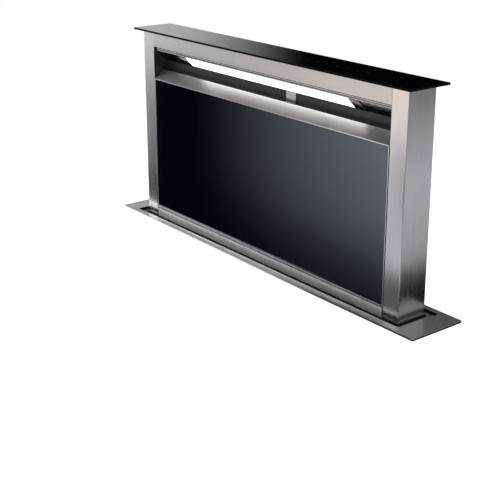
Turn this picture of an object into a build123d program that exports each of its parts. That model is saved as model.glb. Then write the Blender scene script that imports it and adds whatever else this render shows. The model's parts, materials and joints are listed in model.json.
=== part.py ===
from build123d import *
import math
import os

# Rising downdraft vent for a worktop. Millimetres, +X right, -Y to the cook, +Z up.
# The origin is the centre of the worktop cut-out, on the worktop's surface, and
# the column is drawn raised.

# ---- driving dimensions: flange and glass ----
FLANGE_WIDTH = 880
FLANGE_DEPTH = 120
FLANGE_THICKNESS = 4
FLANGE_CORNER = 2.5
RISE = 400  # from the flange's top to the glass's top, raised
RECESS_DEPTH = 5
GLASS_WIDTH = FLANGE_WIDTH - 88
GLASS_DEPTH = FLANGE_DEPTH - 28
GLASS_THICKNESS = 4
SHEET = 1.5  # folded steel
POCKET_GAP = 2  # round the glass when it is down
GASKET_WIDTH = 5
GASKET_THICKNESS = 1
GASKET_INSET = 1.5

# ---- driving dimensions: column ----
COLUMN_WIDTH = FLANGE_WIDTH - 120
COLUMN_DEPTH = 64
COLUMN_TAIL = 180  # what stays under the worktop, raised
PILLAR_WIDTH = 36
REAR_RETURN = 20
BEND_RADIUS = 2
FASCIA_HEIGHT = 35  # seen below the top of the glass
SEAM = 0.3
BODY_GAP = 0.3  # between pieces that slide past each other
RUNNING_GAP = 0.05  # radial, shaft in bore

# ---- driving dimensions: door ----
DOOR_BOTTOM = 16  # above the flange's top
DOOR_TOP = 102  # below the top of the glass
DOOR_SIDE_GAP = 1.8
DOOR_GLASS_THICKNESS = 4
DOOR_TRIM = 1.5
DOOR_RETURN = 12
LIP_DEPTH = 20
LIP_RISE = 18
HINGE_INSET = 4  # hinge line behind the door's face
HINGE_LIFT = 3  # hinge line above the door's bottom
HINGE_PIN_RADIUS = 1.5

# ---- driving dimensions: lamp ----
LAMP_LENGTH = 517
TUBE_RADIUS = 8
CARRIER_SHEET = 1.2
CARRIER_FRONT = 5  # behind the fascia's face
CARRIER_DROP = 8  # below the fascia's lower edge
LAMP_SLOPE_DEPTH = 22  # the 45 degree face, as deep as it is tall
DIFFUSER_THICKNESS = 3
DIFFUSER_MARGIN = 2.5

# ---- driving dimensions: filters ----
FILTER_SIDE_GAP = 11  # from the bay's side
FILTER_APART = 6  # between the two filters
STAY_HEIGHT = 22.5  # from the keeper to the lamp
FILTER_THICKNESS = 9
FILTER_REAR = 11  # the filters' rear face
TRAY_HEIGHT = 9
TRAY_DEPTH = 27

# ---- driving dimensions: casing ----
CASING_WIDTH = FLANGE_WIDTH - 60
CASING_DEPTH = 103
CASING_DROP = 690
CASING_RETURN = 12
SCREW_RADIUS = 2

# ---- driving dimensions: lift ----
MODULE = 1.5
PINION_TEETH = 16
BACKLASH = 0.15  # taken off each flank
PINION_WIDTH = 8
RACK_WIDTH = 10
SHAFT_RADIUS = 5
SHAFT_Y = 18
SHAFT_ABOVE_TAIL = 15
RAIL_WEB = 4
RAIL_Y = -10
SHOE_HEIGHT = 30
BUSH_WALL = 3

# ---- driving dimensions: blower ----
BOX_WIDTH = 340
BOX_HEIGHT = 330
BOX_DEPTH = 180
IMPELLER_RADIUS = 80
IMPELLER_WIDTH = 70
BLADES = 28
INLET_RADIUS = 58
SCROLL_WIDTH = 117
SCROLL_TONGUE = 88
SCROLL_GROWTH = 18  # radius gained in each quarter turn
SCROLL_WALL = 1.6
OUTLET_RADIUS = 75
OUTLET_LENGTH = 55
MOTOR_RADIUS = 47
MOTOR_LENGTH = 46
MOTOR_SHAFT_RADIUS = 4
DAMPER_PIN_RADIUS = 1.5

# ---- heights and faces that follow ----
flange_top = FLANGE_THICKNESS
glass_top = flange_top + RISE
column_top = glass_top - GLASS_THICKNESS
column_bottom = -COLUMN_TAIL
recess_floor = flange_top - RECESS_DEPTH
recess_under = recess_floor - SHEET
front_face = -COLUMN_DEPTH / 2
front_inner = front_face + SHEET
rear_face = COLUMN_DEPTH / 2
rear_inner = rear_face - SHEET
side_face = COLUMN_WIDTH / 2
side_inner = side_face - SHEET
bay = side_face - PILLAR_WIDTH  # half the width between the pillars
fascia_bottom = glass_top - FASCIA_HEIGHT
door_bottom = flange_top + DOOR_BOTTOM
door_top = glass_top - DOOR_TOP
casing_side = CASING_WIDTH / 2
casing_side_inner = casing_side - SHEET
casing_front = -CASING_DEPTH / 2
casing_front_inner = casing_front + SHEET
casing_rear = CASING_DEPTH / 2
casing_rear_inner = casing_rear - SHEET
casing_bottom = -CASING_DROP

os.makedirs("parts", exist_ok=True)


def save(builder, name):
    """Label a finished piece and write it as one STEP file."""
    builder.part.label = name
    export_step(builder.part, f"parts/{name}.step")


def block(x, y, z, mode=Mode.ADD):
    """A box between two values along each axis, in the part being built."""
    middle = tuple((low + high) / 2 for low, high in (x, y, z))
    with Locations(middle):
        Box(x[1] - x[0], y[1] - y[0], z[1] - z[0], mode=mode)


def span(side, near, far):
    """The stretch from near to far along X, on the left (-1) or right (1)."""
    return sorted((side * near, side * far))


def rod_x(x, y, z, radius, mode=Mode.ADD):
    """A round bar along X."""
    with BuildSketch(Plane.YZ.offset(x[0])) as end:
        with Locations((y, z)):
            Circle(radius)
    extrude(end.sketch, amount=x[1] - x[0], mode=mode)


def rod_y(x, y, z, radius, mode=Mode.ADD):
    """A round bar along Y."""
    with BuildSketch(Plane.XZ.offset(-y[1])) as end:
        with Locations((x, z)):
            Circle(radius)
    extrude(end.sketch, amount=y[1] - y[0], mode=mode)


def rod_z(x, y, z, radius, mode=Mode.ADD):
    """A round bar along Z."""
    with BuildSketch(Plane.XY.offset(z[0])) as end:
        with Locations((x, y)):
            Circle(radius)
    extrude(end.sketch, amount=z[1] - z[0], mode=mode)


# ---- worktop flange ----
pocket_width = GLASS_WIDTH + 2 * POCKET_GAP
pocket_depth = GLASS_DEPTH + 2 * POCKET_GAP
SLOT_GAP = 3
slot_width = COLUMN_WIDTH + 2 * SLOT_GAP
slot_depth = COLUMN_DEPTH + 2 * SLOT_GAP
FLANGE_BEVEL = 0.8


def rounded_slab(width, depth, z, radius, mode=Mode.ADD):
    """A flat rounded rectangle between two heights."""
    with BuildSketch(Plane.XY.offset(z[0])) as outline:
        RectangleRounded(width, depth, radius)
    extrude(outline.sketch, amount=z[1] - z[0], mode=mode)


def gasket_ring(z, mode=Mode.ADD):
    """The closed strip near the flange's rim."""
    outer = (FLANGE_WIDTH - 2 * GASKET_INSET, FLANGE_DEPTH - 2 * GASKET_INSET)
    with BuildSketch(Plane.XY.offset(z)) as strip:
        Rectangle(*outer)
        Rectangle(outer[0] - 2 * GASKET_WIDTH, outer[1] - 2 * GASKET_WIDTH, mode=Mode.SUBTRACT)
    extrude(strip.sketch, amount=GASKET_THICKNESS, mode=mode)


with BuildPart() as worktop_flange:
    rounded_slab(FLANGE_WIDTH, FLANGE_DEPTH, (0, flange_top), FLANGE_CORNER)
    top_rim = worktop_flange.faces().sort_by(Axis.Z)[-1].edges()
    chamfer(top_rim, FLANGE_BEVEL)
    tray = (pocket_width + 2 * SHEET, pocket_depth + 2 * SHEET)
    rounded_slab(*tray, (recess_under, 0), FLANGE_CORNER + SHEET)
    rounded_slab(pocket_width, pocket_depth, (recess_floor, flange_top), FLANGE_CORNER, Mode.SUBTRACT)
    rounded_slab(slot_width, slot_depth, (recess_under, recess_floor), FLANGE_CORNER, Mode.SUBTRACT)
    gasket_ring(0, Mode.SUBTRACT)
save(worktop_flange, "worktop_flange")

with BuildPart() as flange_gasket:
    gasket_ring(0)
save(flange_gasket, "flange_gasket")

WIPER_DEPTH = 2  # the rubber's bead below the recess floor
WIPER_GRIP = 5  # how far it reaches under the floor
with BuildPart() as column_wiper:
    wiper_under = recess_under - WIPER_DEPTH
    rounded_slab(slot_width, slot_depth, (recess_under, recess_floor - SEAM), FLANGE_CORNER)
    grip = (slot_width + 2 * WIPER_GRIP, slot_depth + 2 * WIPER_GRIP)
    rounded_slab(*grip, (wiper_under, recess_under), FLANGE_CORNER)
    inside = (COLUMN_WIDTH + 2 * BODY_GAP, COLUMN_DEPTH + 2 * BODY_GAP)
    rounded_slab(*inside, (wiper_under, recess_floor), BEND_RADIUS, Mode.SUBTRACT)
save(column_wiper, "column_wiper")

# ---- casing: folded panels that hang from the flange ----
screw_x = casing_side_inner - CASING_RETURN / 2
SCREW_PITCH = 150
screw_heights = [-60 - SCREW_PITCH * n for n in range(5)]
HOLE_GAP = 0.15
BOX_FLANGE = 12
box_side = BOX_WIDTH / 2
box_bottom = casing_bottom
box_top = casing_bottom + BOX_HEIGHT
box_screw_x = box_side + BOX_FLANGE / 2
box_screw_heights = [box_bottom + 40, (box_bottom + box_top) / 2, box_top - 40]
impeller_x = 25
impeller_z = casing_bottom + 125


def casing_screw_points():
    """Where the front and rear panels are screwed to the sides, as x and z."""
    return [(side * screw_x, z) for side in (-1, 1) for z in screw_heights]


def box_screw_points():
    """Where the blower box is screwed to the front panel, as x and z."""
    return [(side * box_screw_x, z) for side in (-1, 1) for z in box_screw_heights]


with BuildPart() as casing_front_panel:
    block((-casing_side, casing_side), (casing_front, casing_front_inner), (casing_bottom, 0))
    holes = casing_screw_points() + box_screw_points()
    for x, z in holes:
        rod_y(x, (casing_front, casing_front_inner), z, SCREW_RADIUS + HOLE_GAP, Mode.SUBTRACT)
    inlet_hole = INLET_RADIUS + SHEET
    rod_y(impeller_x, (casing_front, casing_front_inner), impeller_z, inlet_hole, Mode.SUBTRACT)
save(casing_front_panel, "casing_front")

with BuildPart() as casing_rear_panel:
    block((-casing_side, casing_side), (casing_rear_inner, casing_rear), (casing_bottom, 0))
    for x, z in casing_screw_points():
        rod_y(x, (casing_rear_inner, casing_rear), z, SCREW_RADIUS + HOLE_GAP, Mode.SUBTRACT)
save(casing_rear_panel, "casing_rear")


def casing_side_panel(side):
    """One end of the casing: a web with a return along the front and rear."""
    with BuildPart() as panel:
        edge = span(side, casing_side_inner, casing_side)
        fold = span(side, casing_side_inner - CASING_RETURN, casing_side_inner)
        block(edge, (casing_front_inner, casing_rear_inner), (casing_bottom, 0))
        front = (casing_front_inner, casing_front_inner + SHEET)
        rear = (casing_rear_inner - SHEET, casing_rear_inner)
        fold_height = (casing_bottom + SHEET, recess_under - BODY_GAP)
        for y in (front, rear):
            block(fold, y, fold_height)
            for z in screw_heights:
                rod_y(side * screw_x, y, z, SCREW_RADIUS + HOLE_GAP, Mode.SUBTRACT)
    return panel


for side, name in ((-1, "casing_side_left"), (1, "casing_side_right")):
    save(casing_side_panel(side), name)

BASE_FOLD = 10
with BuildPart() as casing_base:
    reach = casing_side_inner - CASING_RETURN - 1
    inside_y = (casing_front_inner, casing_rear_inner)
    block((-casing_side_inner, casing_side_inner), inside_y, (casing_bottom, casing_bottom + SHEET))
    fold_z = (casing_bottom + SHEET, casing_bottom + SHEET + BASE_FOLD)
    block((-reach, reach), (casing_front_inner, casing_front_inner + SHEET), fold_z)
    block((-reach, reach), (casing_rear_inner - SHEET, casing_rear_inner), fold_z)
save(casing_base, "casing_base")

SCREW_HEAD = 2.2
SCREW_LENGTH = 6


def cross_head_screw(x, y, z, out):
    """A pan-head screw along Y with its head towards out (-1 front, 1 rear)."""
    shank = sorted((y, y - out * SCREW_LENGTH))
    head = sorted((y, y + out * SCREW_HEAD))
    rod_y(x, shank, z, SCREW_RADIUS)
    rod_y(x, head, z, 2 * SCREW_RADIUS)


with BuildPart() as casing_screws:
    for x, z in casing_screw_points():
        cross_head_screw(x, casing_front, z, -1)
        cross_head_screw(x, casing_rear, z, 1)
    for x, z in box_screw_points():
        cross_head_screw(x, casing_front - SHEET, z, -1)
save(casing_screws, "casing_screws")

# ---- clamps that pull the flange down on the worktop ----
CLAMP_REACH = 24
CLAMP_DEPTH = 50
CLAMP_DROP = 52
CLAMP_SHEET = 2
CLAMP_LEG = 40
CLAMP_SCREW_RADIUS = 3
CLAMP_SCREW_TIP = -32  # the underside of a worktop as thick as this
clamp_x = casing_side + CLAMP_REACH * 0.6

with BuildPart() as clamp_brackets:
    for side in (-1, 1):
        leg = span(side, casing_side, casing_side + CLAMP_SHEET)
        shelf = span(side, casing_side, casing_side + CLAMP_REACH)
        depth = (-CLAMP_DEPTH / 2, CLAMP_DEPTH / 2)
        block(leg, depth, (-CLAMP_DROP - CLAMP_LEG, -CLAMP_DROP))
        block(shelf, depth, (-CLAMP_DROP, -CLAMP_DROP + CLAMP_SHEET))
        thread = (-CLAMP_DROP, -CLAMP_DROP + CLAMP_SHEET)
        rod_z(side * clamp_x, 0, thread, CLAMP_SCREW_RADIUS, Mode.SUBTRACT)
save(clamp_brackets, "clamp_brackets")

with BuildPart() as clamp_screws:
    for side in (-1, 1):
        rod_z(side * clamp_x, 0, (-CLAMP_DROP - 10, CLAMP_SCREW_TIP), CLAMP_SCREW_RADIUS)
        with BuildSketch(Plane.XY.offset(-CLAMP_DROP - 10)):
            with Locations((side * clamp_x, 0)):
                RegularPolygon(2 * CLAMP_SCREW_RADIUS, 6)
        extrude(amount=-4)
save(clamp_screws, "clamp_screws")

# ---- guide rails on the casing, shoes on the column ----
shoe_outer = side_face + 24
rail_base = casing_side_inner - 2
rail_tip = shoe_outer - 10
RAIL_TOP = -12
rail_bottom = column_bottom - RISE - 20
SHOE_DEPTH = 20
shoe_heights = [column_bottom + 8, column_bottom + 110]

with BuildPart() as guide_rails:
    for side in (-1, 1):
        foot_y = (RAIL_Y - 12, RAIL_Y + 12)
        web_y = (RAIL_Y - RAIL_WEB / 2, RAIL_Y + RAIL_WEB / 2)
        block(span(side, rail_base, casing_side_inner), foot_y, (rail_bottom, RAIL_TOP))
        block(span(side, rail_tip, rail_base), web_y, (rail_bottom, RAIL_TOP))
save(guide_rails, "guide_rails")

with BuildPart() as guide_shoes:
    slot = RAIL_WEB / 2 + BODY_GAP
    for side in (-1, 1):
        for z in shoe_heights:
            height = (z, z + SHOE_HEIGHT)
            depth = (RAIL_Y - SHOE_DEPTH / 2, RAIL_Y + SHOE_DEPTH / 2)
            block(span(side, side_face, shoe_outer), depth, height)
            groove = span(side, rail_tip - BODY_GAP, shoe_outer)
            block(groove, (RAIL_Y - slot, RAIL_Y + slot), height, Mode.SUBTRACT)
save(guide_shoes, "guide_shoes")

# ---- lift: two racks on the casing, pinions on a shaft across the column ----
shaft_z = column_bottom + SHAFT_ABOVE_TAIL
pitch_radius = MODULE * PINION_TEETH / 2
tooth_pitch = math.pi * MODULE
PRESSURE = math.radians(20)
ADDENDUM = MODULE
DEDENDUM = 1.25 * MODULE
pinion_middle = side_face + 10
rack_x = (pinion_middle - RACK_WIDTH / 2, pinion_middle + RACK_WIDTH / 2)
RACK_SPARE = 20  # rack beyond the travel, each way


def rack_outline():
    """Points (y, z) round a rack whose teeth face the front, a gap level with the shaft."""
    pitch_line = SHAFT_Y + pitch_radius
    root = pitch_line + DEDENDUM
    tip = pitch_line - ADDENDUM
    root_half = tooth_pitch / 4 + DEDENDUM * math.tan(PRESSURE) - BACKLASH
    tip_half = tooth_pitch / 4 - ADDENDUM * math.tan(PRESSURE) - BACKLASH
    below = math.ceil((RISE + RACK_SPARE) / tooth_pitch)
    above = math.ceil(RACK_SPARE / tooth_pitch)
    points = []
    for n in range(-below, above):
        z = shaft_z + (n + 0.5) * tooth_pitch
        points += [(root, z - root_half), (tip, z - tip_half)]
        points += [(tip, z + tip_half), (root, z + root_half)]
    low = points[0][1] - 1
    high = points[-1][1] + 1
    ends = [(root, high), (casing_rear_inner, high), (casing_rear_inner, low), (root, low)]
    return points + ends


with BuildPart() as lift_racks:
    for side in (-1, 1):
        start, end = span(side, *rack_x)
        with BuildSketch(Plane.YZ.offset(start)):
            with BuildLine():
                Polyline(*rack_outline(), close=True)
            make_face()
        extrude(amount=end - start)
save(lift_racks, "lift_racks")


def involute_half_angle(radius):
    """Half the angle that a tooth spans at a radius, its flank an involute of the base circle."""
    base = pitch_radius * math.cos(PRESSURE)
    angle = math.acos(min(1, base / radius))
    at_pitch = math.pi / (2 * PINION_TEETH) - BACKLASH / pitch_radius
    return at_pitch + (math.tan(PRESSURE) - PRESSURE) - (math.tan(angle) - angle)


def pinion_flank():
    """Points up one flank of the tooth that lies along local X, from the base circle to the tip."""
    base = pitch_radius * math.cos(PRESSURE)
    tip = pitch_radius + ADDENDUM
    points = []
    for n in range(5):
        radius = base + (tip - base) * n / 4
        half = involute_half_angle(radius)
        points.append((radius * math.cos(half), radius * math.sin(half)))
    return points


with BuildSketch() as pinion_tooth:
    flank = pinion_flank()
    mirrored = [(x, -y) for x, y in flank]
    root = pitch_radius - DEDENDUM
    foot = [(root - 1, flank[0][1]), (root - 1, -flank[0][1])]
    with BuildLine():
        Spline(*flank)
        ThreePointArc(flank[-1], (pitch_radius + ADDENDUM, 0), mirrored[-1])
        Spline(*mirrored)
        Polyline(mirrored[0], foot[1], foot[0], flank[0])
    make_face()

with BuildPart() as drive_pinions:
    for side in (-1, 1):
        start, end = span(side, pinion_middle - PINION_WIDTH / 2, pinion_middle + PINION_WIDTH / 2)
        hub = Plane((start, SHAFT_Y, shaft_z), x_dir=(0, 1, 0), z_dir=(1, 0, 0))
        with BuildSketch(hub):
            Circle(pitch_radius - DEDENDUM)
            for n in range(PINION_TEETH):
                add(pinion_tooth.sketch, rotation=360 * n / PINION_TEETH)
            Circle(SHAFT_RADIUS, mode=Mode.SUBTRACT)
        extrude(amount=end - start)
save(drive_pinions, "drive_pinions")

shaft_end = pinion_middle + PINION_WIDTH / 2 + 4
with BuildPart() as cross_shaft:
    rod_x((-shaft_end, shaft_end), SHAFT_Y, shaft_z, SHAFT_RADIUS)
save(cross_shaft, "cross_shaft")

# ---- blower box on the front of the casing ----
box_front = casing_front - BOX_DEPTH
box_inner = box_side - SHEET
scroll_back = casing_front - SHEET
scroll_front = scroll_back - SCROLL_WIDTH
outlet_low = impeller_z + SCROLL_TONGUE
outlet_high = impeller_z + SCROLL_TONGUE + 4 * SCROLL_GROWTH
outlet_middle = (outlet_low + outlet_high) / 2
OUTLET_Y = casing_front - 84
SCROLL_START = 100  # degrees round from +X to the tongue


def scroll_radius(degrees, wall):
    """The spiral's radius, which grows evenly from the tongue, less a wall."""
    return SCROLL_TONGUE + SCROLL_GROWTH * (degrees - SCROLL_START) / 90 - wall


def scroll_point(degrees, wall):
    """A point (x, z) on the spiral."""
    angle = math.radians(degrees)
    radius = scroll_radius(degrees, wall)
    return (impeller_x + radius * math.cos(angle), impeller_z + radius * math.sin(angle))


def scroll_face(wall, outlet):
    """The volute seen along Y: a spiral, then a straight channel out to x = outlet."""
    turns = [SCROLL_START + 25 * n for n in range(15)]
    curve = [scroll_point(degrees, wall) for degrees in turns]
    with BuildLine() as outline:
        Spline(*curve)
        Polyline(curve[-1], (outlet, curve[-1][1]), (outlet, outlet_low + wall), curve[0])
    make_face(outline.edges())


with BuildPart() as blower_box:
    block((-box_side, box_side), (box_front, scroll_back), (box_bottom, box_top))
    inside_z = (box_bottom + SHEET, box_top - SHEET)
    block((-box_inner, box_inner), (box_front + SHEET, scroll_back), inside_z, Mode.SUBTRACT)
    rim = box_side + BOX_FLANGE
    block((-rim, rim), (scroll_back, casing_front), (box_bottom, box_top))
    block((-box_inner, box_inner), (scroll_back, casing_front), inside_z, Mode.SUBTRACT)
    window_y = (scroll_front + SCROLL_WALL, scroll_back - SCROLL_WALL)
    window_z = (outlet_low + SCROLL_WALL, outlet_high - SCROLL_WALL)
    block((-box_side, -box_inner), window_y, window_z, Mode.SUBTRACT)
    for x, z in box_screw_points():
        rod_y(x, (scroll_back, casing_front), z, SCREW_RADIUS + HOLE_GAP, Mode.SUBTRACT)
save(blower_box, "blower_box")

with BuildPart() as blower_scroll:
    with BuildSketch(Plane.XZ.offset(-scroll_back)) as scroll_outer:
        scroll_face(0, -box_inner)
    extrude(scroll_outer.sketch, amount=SCROLL_WIDTH)
    with BuildSketch(Plane.XZ.offset(-scroll_back + SCROLL_WALL)) as scroll_inner:
        scroll_face(SCROLL_WALL, -box_inner)
    extrude(scroll_inner.sketch, amount=SCROLL_WIDTH - 2 * SCROLL_WALL, mode=Mode.SUBTRACT)
    rod_y(impeller_x, (scroll_back - SCROLL_WALL, scroll_back), impeller_z, inlet_hole, Mode.SUBTRACT)
    shaft_hole = MOTOR_SHAFT_RADIUS + 2
    rod_y(impeller_x, (scroll_front, scroll_front + SCROLL_WALL), impeller_z, shaft_hole, Mode.SUBTRACT)
save(blower_scroll, "blower_scroll")

INLET_FLANGE = 14
INLET_REACH = 14  # past the scroll's rear wall, into the wheel's eye
with BuildPart() as inlet_ring:
    flange_y = (casing_front_inner, casing_front_inner + SHEET)
    throat_y = (scroll_back - SCROLL_WALL - INLET_REACH, casing_front_inner)
    rod_y(impeller_x, flange_y, impeller_z, inlet_hole + INLET_FLANGE)
    rod_y(impeller_x, throat_y, impeller_z, inlet_hole)
    rod_y(impeller_x, (throat_y[0], flange_y[1]), impeller_z, INLET_RADIUS, Mode.SUBTRACT)
save(inlet_ring, "inlet_ring")

# ---- wheel and motor ----
EYE_RADIUS = IMPELLER_RADIUS - 16
BLADE_THICKNESS = 1.2
RIM_THICKNESS = 3
wheel_rear = throat_y[0] - 2
wheel_front = wheel_rear - IMPELLER_WIDTH
with BuildPart() as impeller:
    disc_y = (wheel_front, wheel_front + RIM_THICKNESS)
    ring_y = (wheel_rear - RIM_THICKNESS, wheel_rear)
    rod_y(impeller_x, disc_y, impeller_z, IMPELLER_RADIUS)
    rod_y(impeller_x, (wheel_front, wheel_front + 24), impeller_z, 3 * MOTOR_SHAFT_RADIUS)
    rod_y(impeller_x, ring_y, impeller_z, IMPELLER_RADIUS)
    rod_y(impeller_x, ring_y, impeller_z, EYE_RADIUS, Mode.SUBTRACT)
    hub_plane = Plane((impeller_x, disc_y[1], impeller_z), x_dir=(1, 0, 0), z_dir=(0, 1, 0))
    with BuildSketch(hub_plane) as blade:
        with BuildLine():
            inner_tip = (EYE_RADIUS + 0.5, 0)
            outer_tip = (IMPELLER_RADIUS - 0.5, 13)
            curve = ThreePointArc(inner_tip, (IMPELLER_RADIUS - 8, 5), outer_tip)
            offset(curve, amount=BLADE_THICKNESS / 2)
        make_face()
    with BuildSketch(hub_plane):
        for n in range(BLADES):
            add(blade.sketch_local, rotation=360 * n / BLADES)
    extrude(amount=IMPELLER_WIDTH - 2 * RIM_THICKNESS)
    rod_y(impeller_x, (wheel_front, wheel_rear), impeller_z, MOTOR_SHAFT_RADIUS, Mode.SUBTRACT)
save(impeller, "impeller")

MOTOR_FLANGE = 10
MOTOR_FLANGE_THICKNESS = 3
motor_front = scroll_front - MOTOR_LENGTH
with BuildPart() as blower_motor:
    flange_y = (scroll_front - MOTOR_FLANGE_THICKNESS, scroll_front)
    rod_y(impeller_x, flange_y, impeller_z, MOTOR_RADIUS + MOTOR_FLANGE)
    rod_y(impeller_x, (motor_front, scroll_front), impeller_z, MOTOR_RADIUS)
    fillet(blower_motor.edges().group_by(Axis.Y)[0], 5)
    bore_y = (motor_front + 6, scroll_front)
    bore = MOTOR_SHAFT_RADIUS + RUNNING_GAP
    rod_y(impeller_x, bore_y, impeller_z, bore, Mode.SUBTRACT)
save(blower_motor, "blower_motor")

with BuildPart() as motor_shaft:
    rod_y(impeller_x, (motor_front + 7, wheel_front + 26), impeller_z, MOTOR_SHAFT_RADIUS)
save(motor_shaft, "motor_shaft")

# ---- outlet: a rectangle-to-round piece, a collar and a two-flap damper ----
ADAPTER_LENGTH = 66
scroll_middle_y = (scroll_front + scroll_back) / 2
collar_start = -box_side - ADAPTER_LENGTH
collar_end = collar_start - OUTLET_LENGTH
with BuildPart() as outlet_collar:
    for wall, mode in ((0, Mode.ADD), (SHEET, Mode.SUBTRACT)):
        with BuildSketch(Plane.YZ.offset(-box_side)) as start_face:
            with Locations((scroll_middle_y, outlet_middle)):
                size = (SCROLL_WIDTH - 2 * wall, outlet_high - outlet_low - 2 * wall)
                RectangleRounded(*size, 6)
        with BuildSketch(Plane.YZ.offset(collar_start)) as end_face:
            with Locations((OUTLET_Y, outlet_middle)):
                Circle(OUTLET_RADIUS - wall)
        loft([start_face.sketch.face(), end_face.sketch.face()], mode=mode)
        rod_x((collar_end, collar_start), OUTLET_Y, outlet_middle, OUTLET_RADIUS - wall, mode)
save(outlet_collar, "outlet_collar")

damper_x = collar_start - 14
DAMPER_GAP = 1.5  # flap to collar
FLAP_THICKNESS = 1
KNUCKLE_WALL = 1.2
pin_half = OUTLET_RADIUS - SHEET
with BuildPart() as damper_pin:
    pin_z = (outlet_middle - pin_half, outlet_middle + pin_half)
    rod_z(damper_x, OUTLET_Y, pin_z, DAMPER_PIN_RADIUS)
    with BuildSketch(Plane.YZ.offset(damper_x - 5)) as bore_outline:
        with Locations((OUTLET_Y, outlet_middle)):
            Circle(OUTLET_RADIUS - SHEET)
    extrude(bore_outline.sketch, amount=10, mode=Mode.INTERSECT)
save(damper_pin, "damper_pin")


def damper_flap(side, knuckles):
    """Half a disc beside the pin, with the knuckles (low, high) that it hangs on."""
    with BuildPart() as flap:
        start = damper_x - FLAP_THICKNESS / 2
        with BuildSketch(Plane.YZ.offset(start)) as disc:
            with Locations((OUTLET_Y, outlet_middle)):
                Circle(OUTLET_RADIUS - SHEET - DAMPER_GAP)
                Rectangle(4 * OUTLET_RADIUS, 4 * OUTLET_RADIUS, mode=Mode.INTERSECT)
            inner = DAMPER_PIN_RADIUS + KNUCKLE_WALL + 2 * BODY_GAP
            with Locations((OUTLET_Y - side * (OUTLET_RADIUS - inner), outlet_middle)):
                Rectangle(2 * OUTLET_RADIUS, 4 * OUTLET_RADIUS, mode=Mode.SUBTRACT)
        extrude(disc.sketch, amount=FLAP_THICKNESS)
        outer = DAMPER_PIN_RADIUS + KNUCKLE_WALL
        for low, high in knuckles:
            rod_z(damper_x, OUTLET_Y, (low, high), outer)
            arm = sorted((OUTLET_Y, OUTLET_Y + side * (inner + 1)))
            block((start, start + FLAP_THICKNESS), arm, (low, high))
            bore = DAMPER_PIN_RADIUS + RUNNING_GAP
            rod_z(damper_x, OUTLET_Y, (low, high), bore, Mode.SUBTRACT)
    return flap


KNUCKLE_LENGTH = 20
middle_knuckle = [(outlet_middle - KNUCKLE_LENGTH, outlet_middle + KNUCKLE_LENGTH)]
end_knuckles = [
    (outlet_middle - 60, outlet_middle - 60 + KNUCKLE_LENGTH),
    (outlet_middle + 60 - KNUCKLE_LENGTH, outlet_middle + 60),
]
save(damper_flap(-1, middle_knuckle), "damper_flap_front")
save(damper_flap(1, end_knuckles), "damper_flap_rear")

# ---- control box ----
CONTROL_SIZE = (200, 44, 130)
CONTROL_X = 190
CONTROL_TOP = -130
control_x = (CONTROL_X, CONTROL_X + CONTROL_SIZE[0])
control_y = (casing_front - CONTROL_SIZE[1], casing_front)
control_z = (CONTROL_TOP - CONTROL_SIZE[2], CONTROL_TOP)
GLAND_RADIUS = 8
gland_x = control_x[0] + 40
gland_y = (control_y[0] + control_y[1]) / 2

with BuildPart() as control_box:
    block(control_x, control_y, control_z)
    inside = [(low + SHEET, high - SHEET) for low, high in (control_x, control_z)]
    block(inside[0], (control_y[0], control_y[1] - SHEET), inside[1], Mode.SUBTRACT)
    rod_z(gland_x, gland_y, (control_z[0], control_z[0] + SHEET), GLAND_RADIUS, Mode.SUBTRACT)
save(control_box, "control_box")

with BuildPart() as control_cover:
    block(control_x, (control_y[0] - SHEET, control_y[0]), control_z)
    for x in (control_x[0] + 8, control_x[1] - 8):
        for z in (control_z[0] + 8, control_z[1] - 8):
            rod_y(x, (control_y[0] - SHEET - SCREW_HEAD, control_y[0] - SHEET), z, 2 * SCREW_RADIUS)
save(control_cover, "control_cover")

with BuildPart() as control_board:
    board_y = casing_front - SHEET - 8
    board_x = (control_x[0] + 16, control_x[1] - 16)
    board_z = (control_z[0] + 18, control_z[1] - 14)
    block(board_x, (board_y - 1.6, board_y), board_z)
    for x in (board_x[0] + 6, board_x[1] - 6):
        for z in (board_z[0] + 6, board_z[1] - 6):
            rod_y(x, (board_y, casing_front - SHEET), z, 3)
    relay_y = (board_y - 1.6 - 16, board_y - 1.6)
    for n in range(4):
        start = board_x[0] + 12 + 26 * n
        block((start, start + 16), relay_y, (board_z[1] - 36, board_z[1] - 12))
    rod_y(board_x[1] - 28, (board_y - 27, board_y - 1.6), board_z[0] + 34, 12)
save(control_board, "control_board")

with BuildPart() as cable_gland:
    rod_z(gland_x, gland_y, (control_z[0] - 14, control_z[0] + SHEET), GLAND_RADIUS)
    with BuildSketch(Plane.XY.offset(control_z[0])):
        with Locations((gland_x, gland_y)):
            RegularPolygon(GLAND_RADIUS + 4, 6)
    extrude(amount=-5)
    with BuildSketch(Plane.XY.offset(control_z[0] + SHEET)):
        with Locations((gland_x, gland_y)):
            RegularPolygon(GLAND_RADIUS + 4, 6)
    extrude(amount=4)
    rod_z(gland_x, gland_y, (control_z[0] - 14, control_z[0] + SHEET + 4), 3.5, Mode.SUBTRACT)
save(cable_gland, "cable_gland")

SWITCH_SIZE = 20
SWITCH_DEPTH = 12
LEVER_WIDTH = 4
LEVER_HEIGHT = 8
LEVER_PROUD = 3
switch_x = rack_x[0] - 45
with BuildPart() as limit_switches:
    switch_front = casing_rear_inner - SWITCH_DEPTH
    body_x = (switch_x - SWITCH_SIZE / 2, switch_x + SWITCH_SIZE / 2)
    lever_x = (switch_x - LEVER_WIDTH / 2, switch_x + LEVER_WIDTH / 2)
    for z in (shaft_z + 40, shaft_z - RISE - 20):
        block(body_x, (switch_front, casing_rear_inner), (z, z + SWITCH_SIZE))
        lever_low = z + (SWITCH_SIZE - LEVER_HEIGHT) / 2
        lever_z = (lever_low, lever_low + LEVER_HEIGHT)
        block(lever_x, (switch_front - LEVER_PROUD, switch_front), lever_z)
save(limit_switches, "limit_switches")

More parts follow.
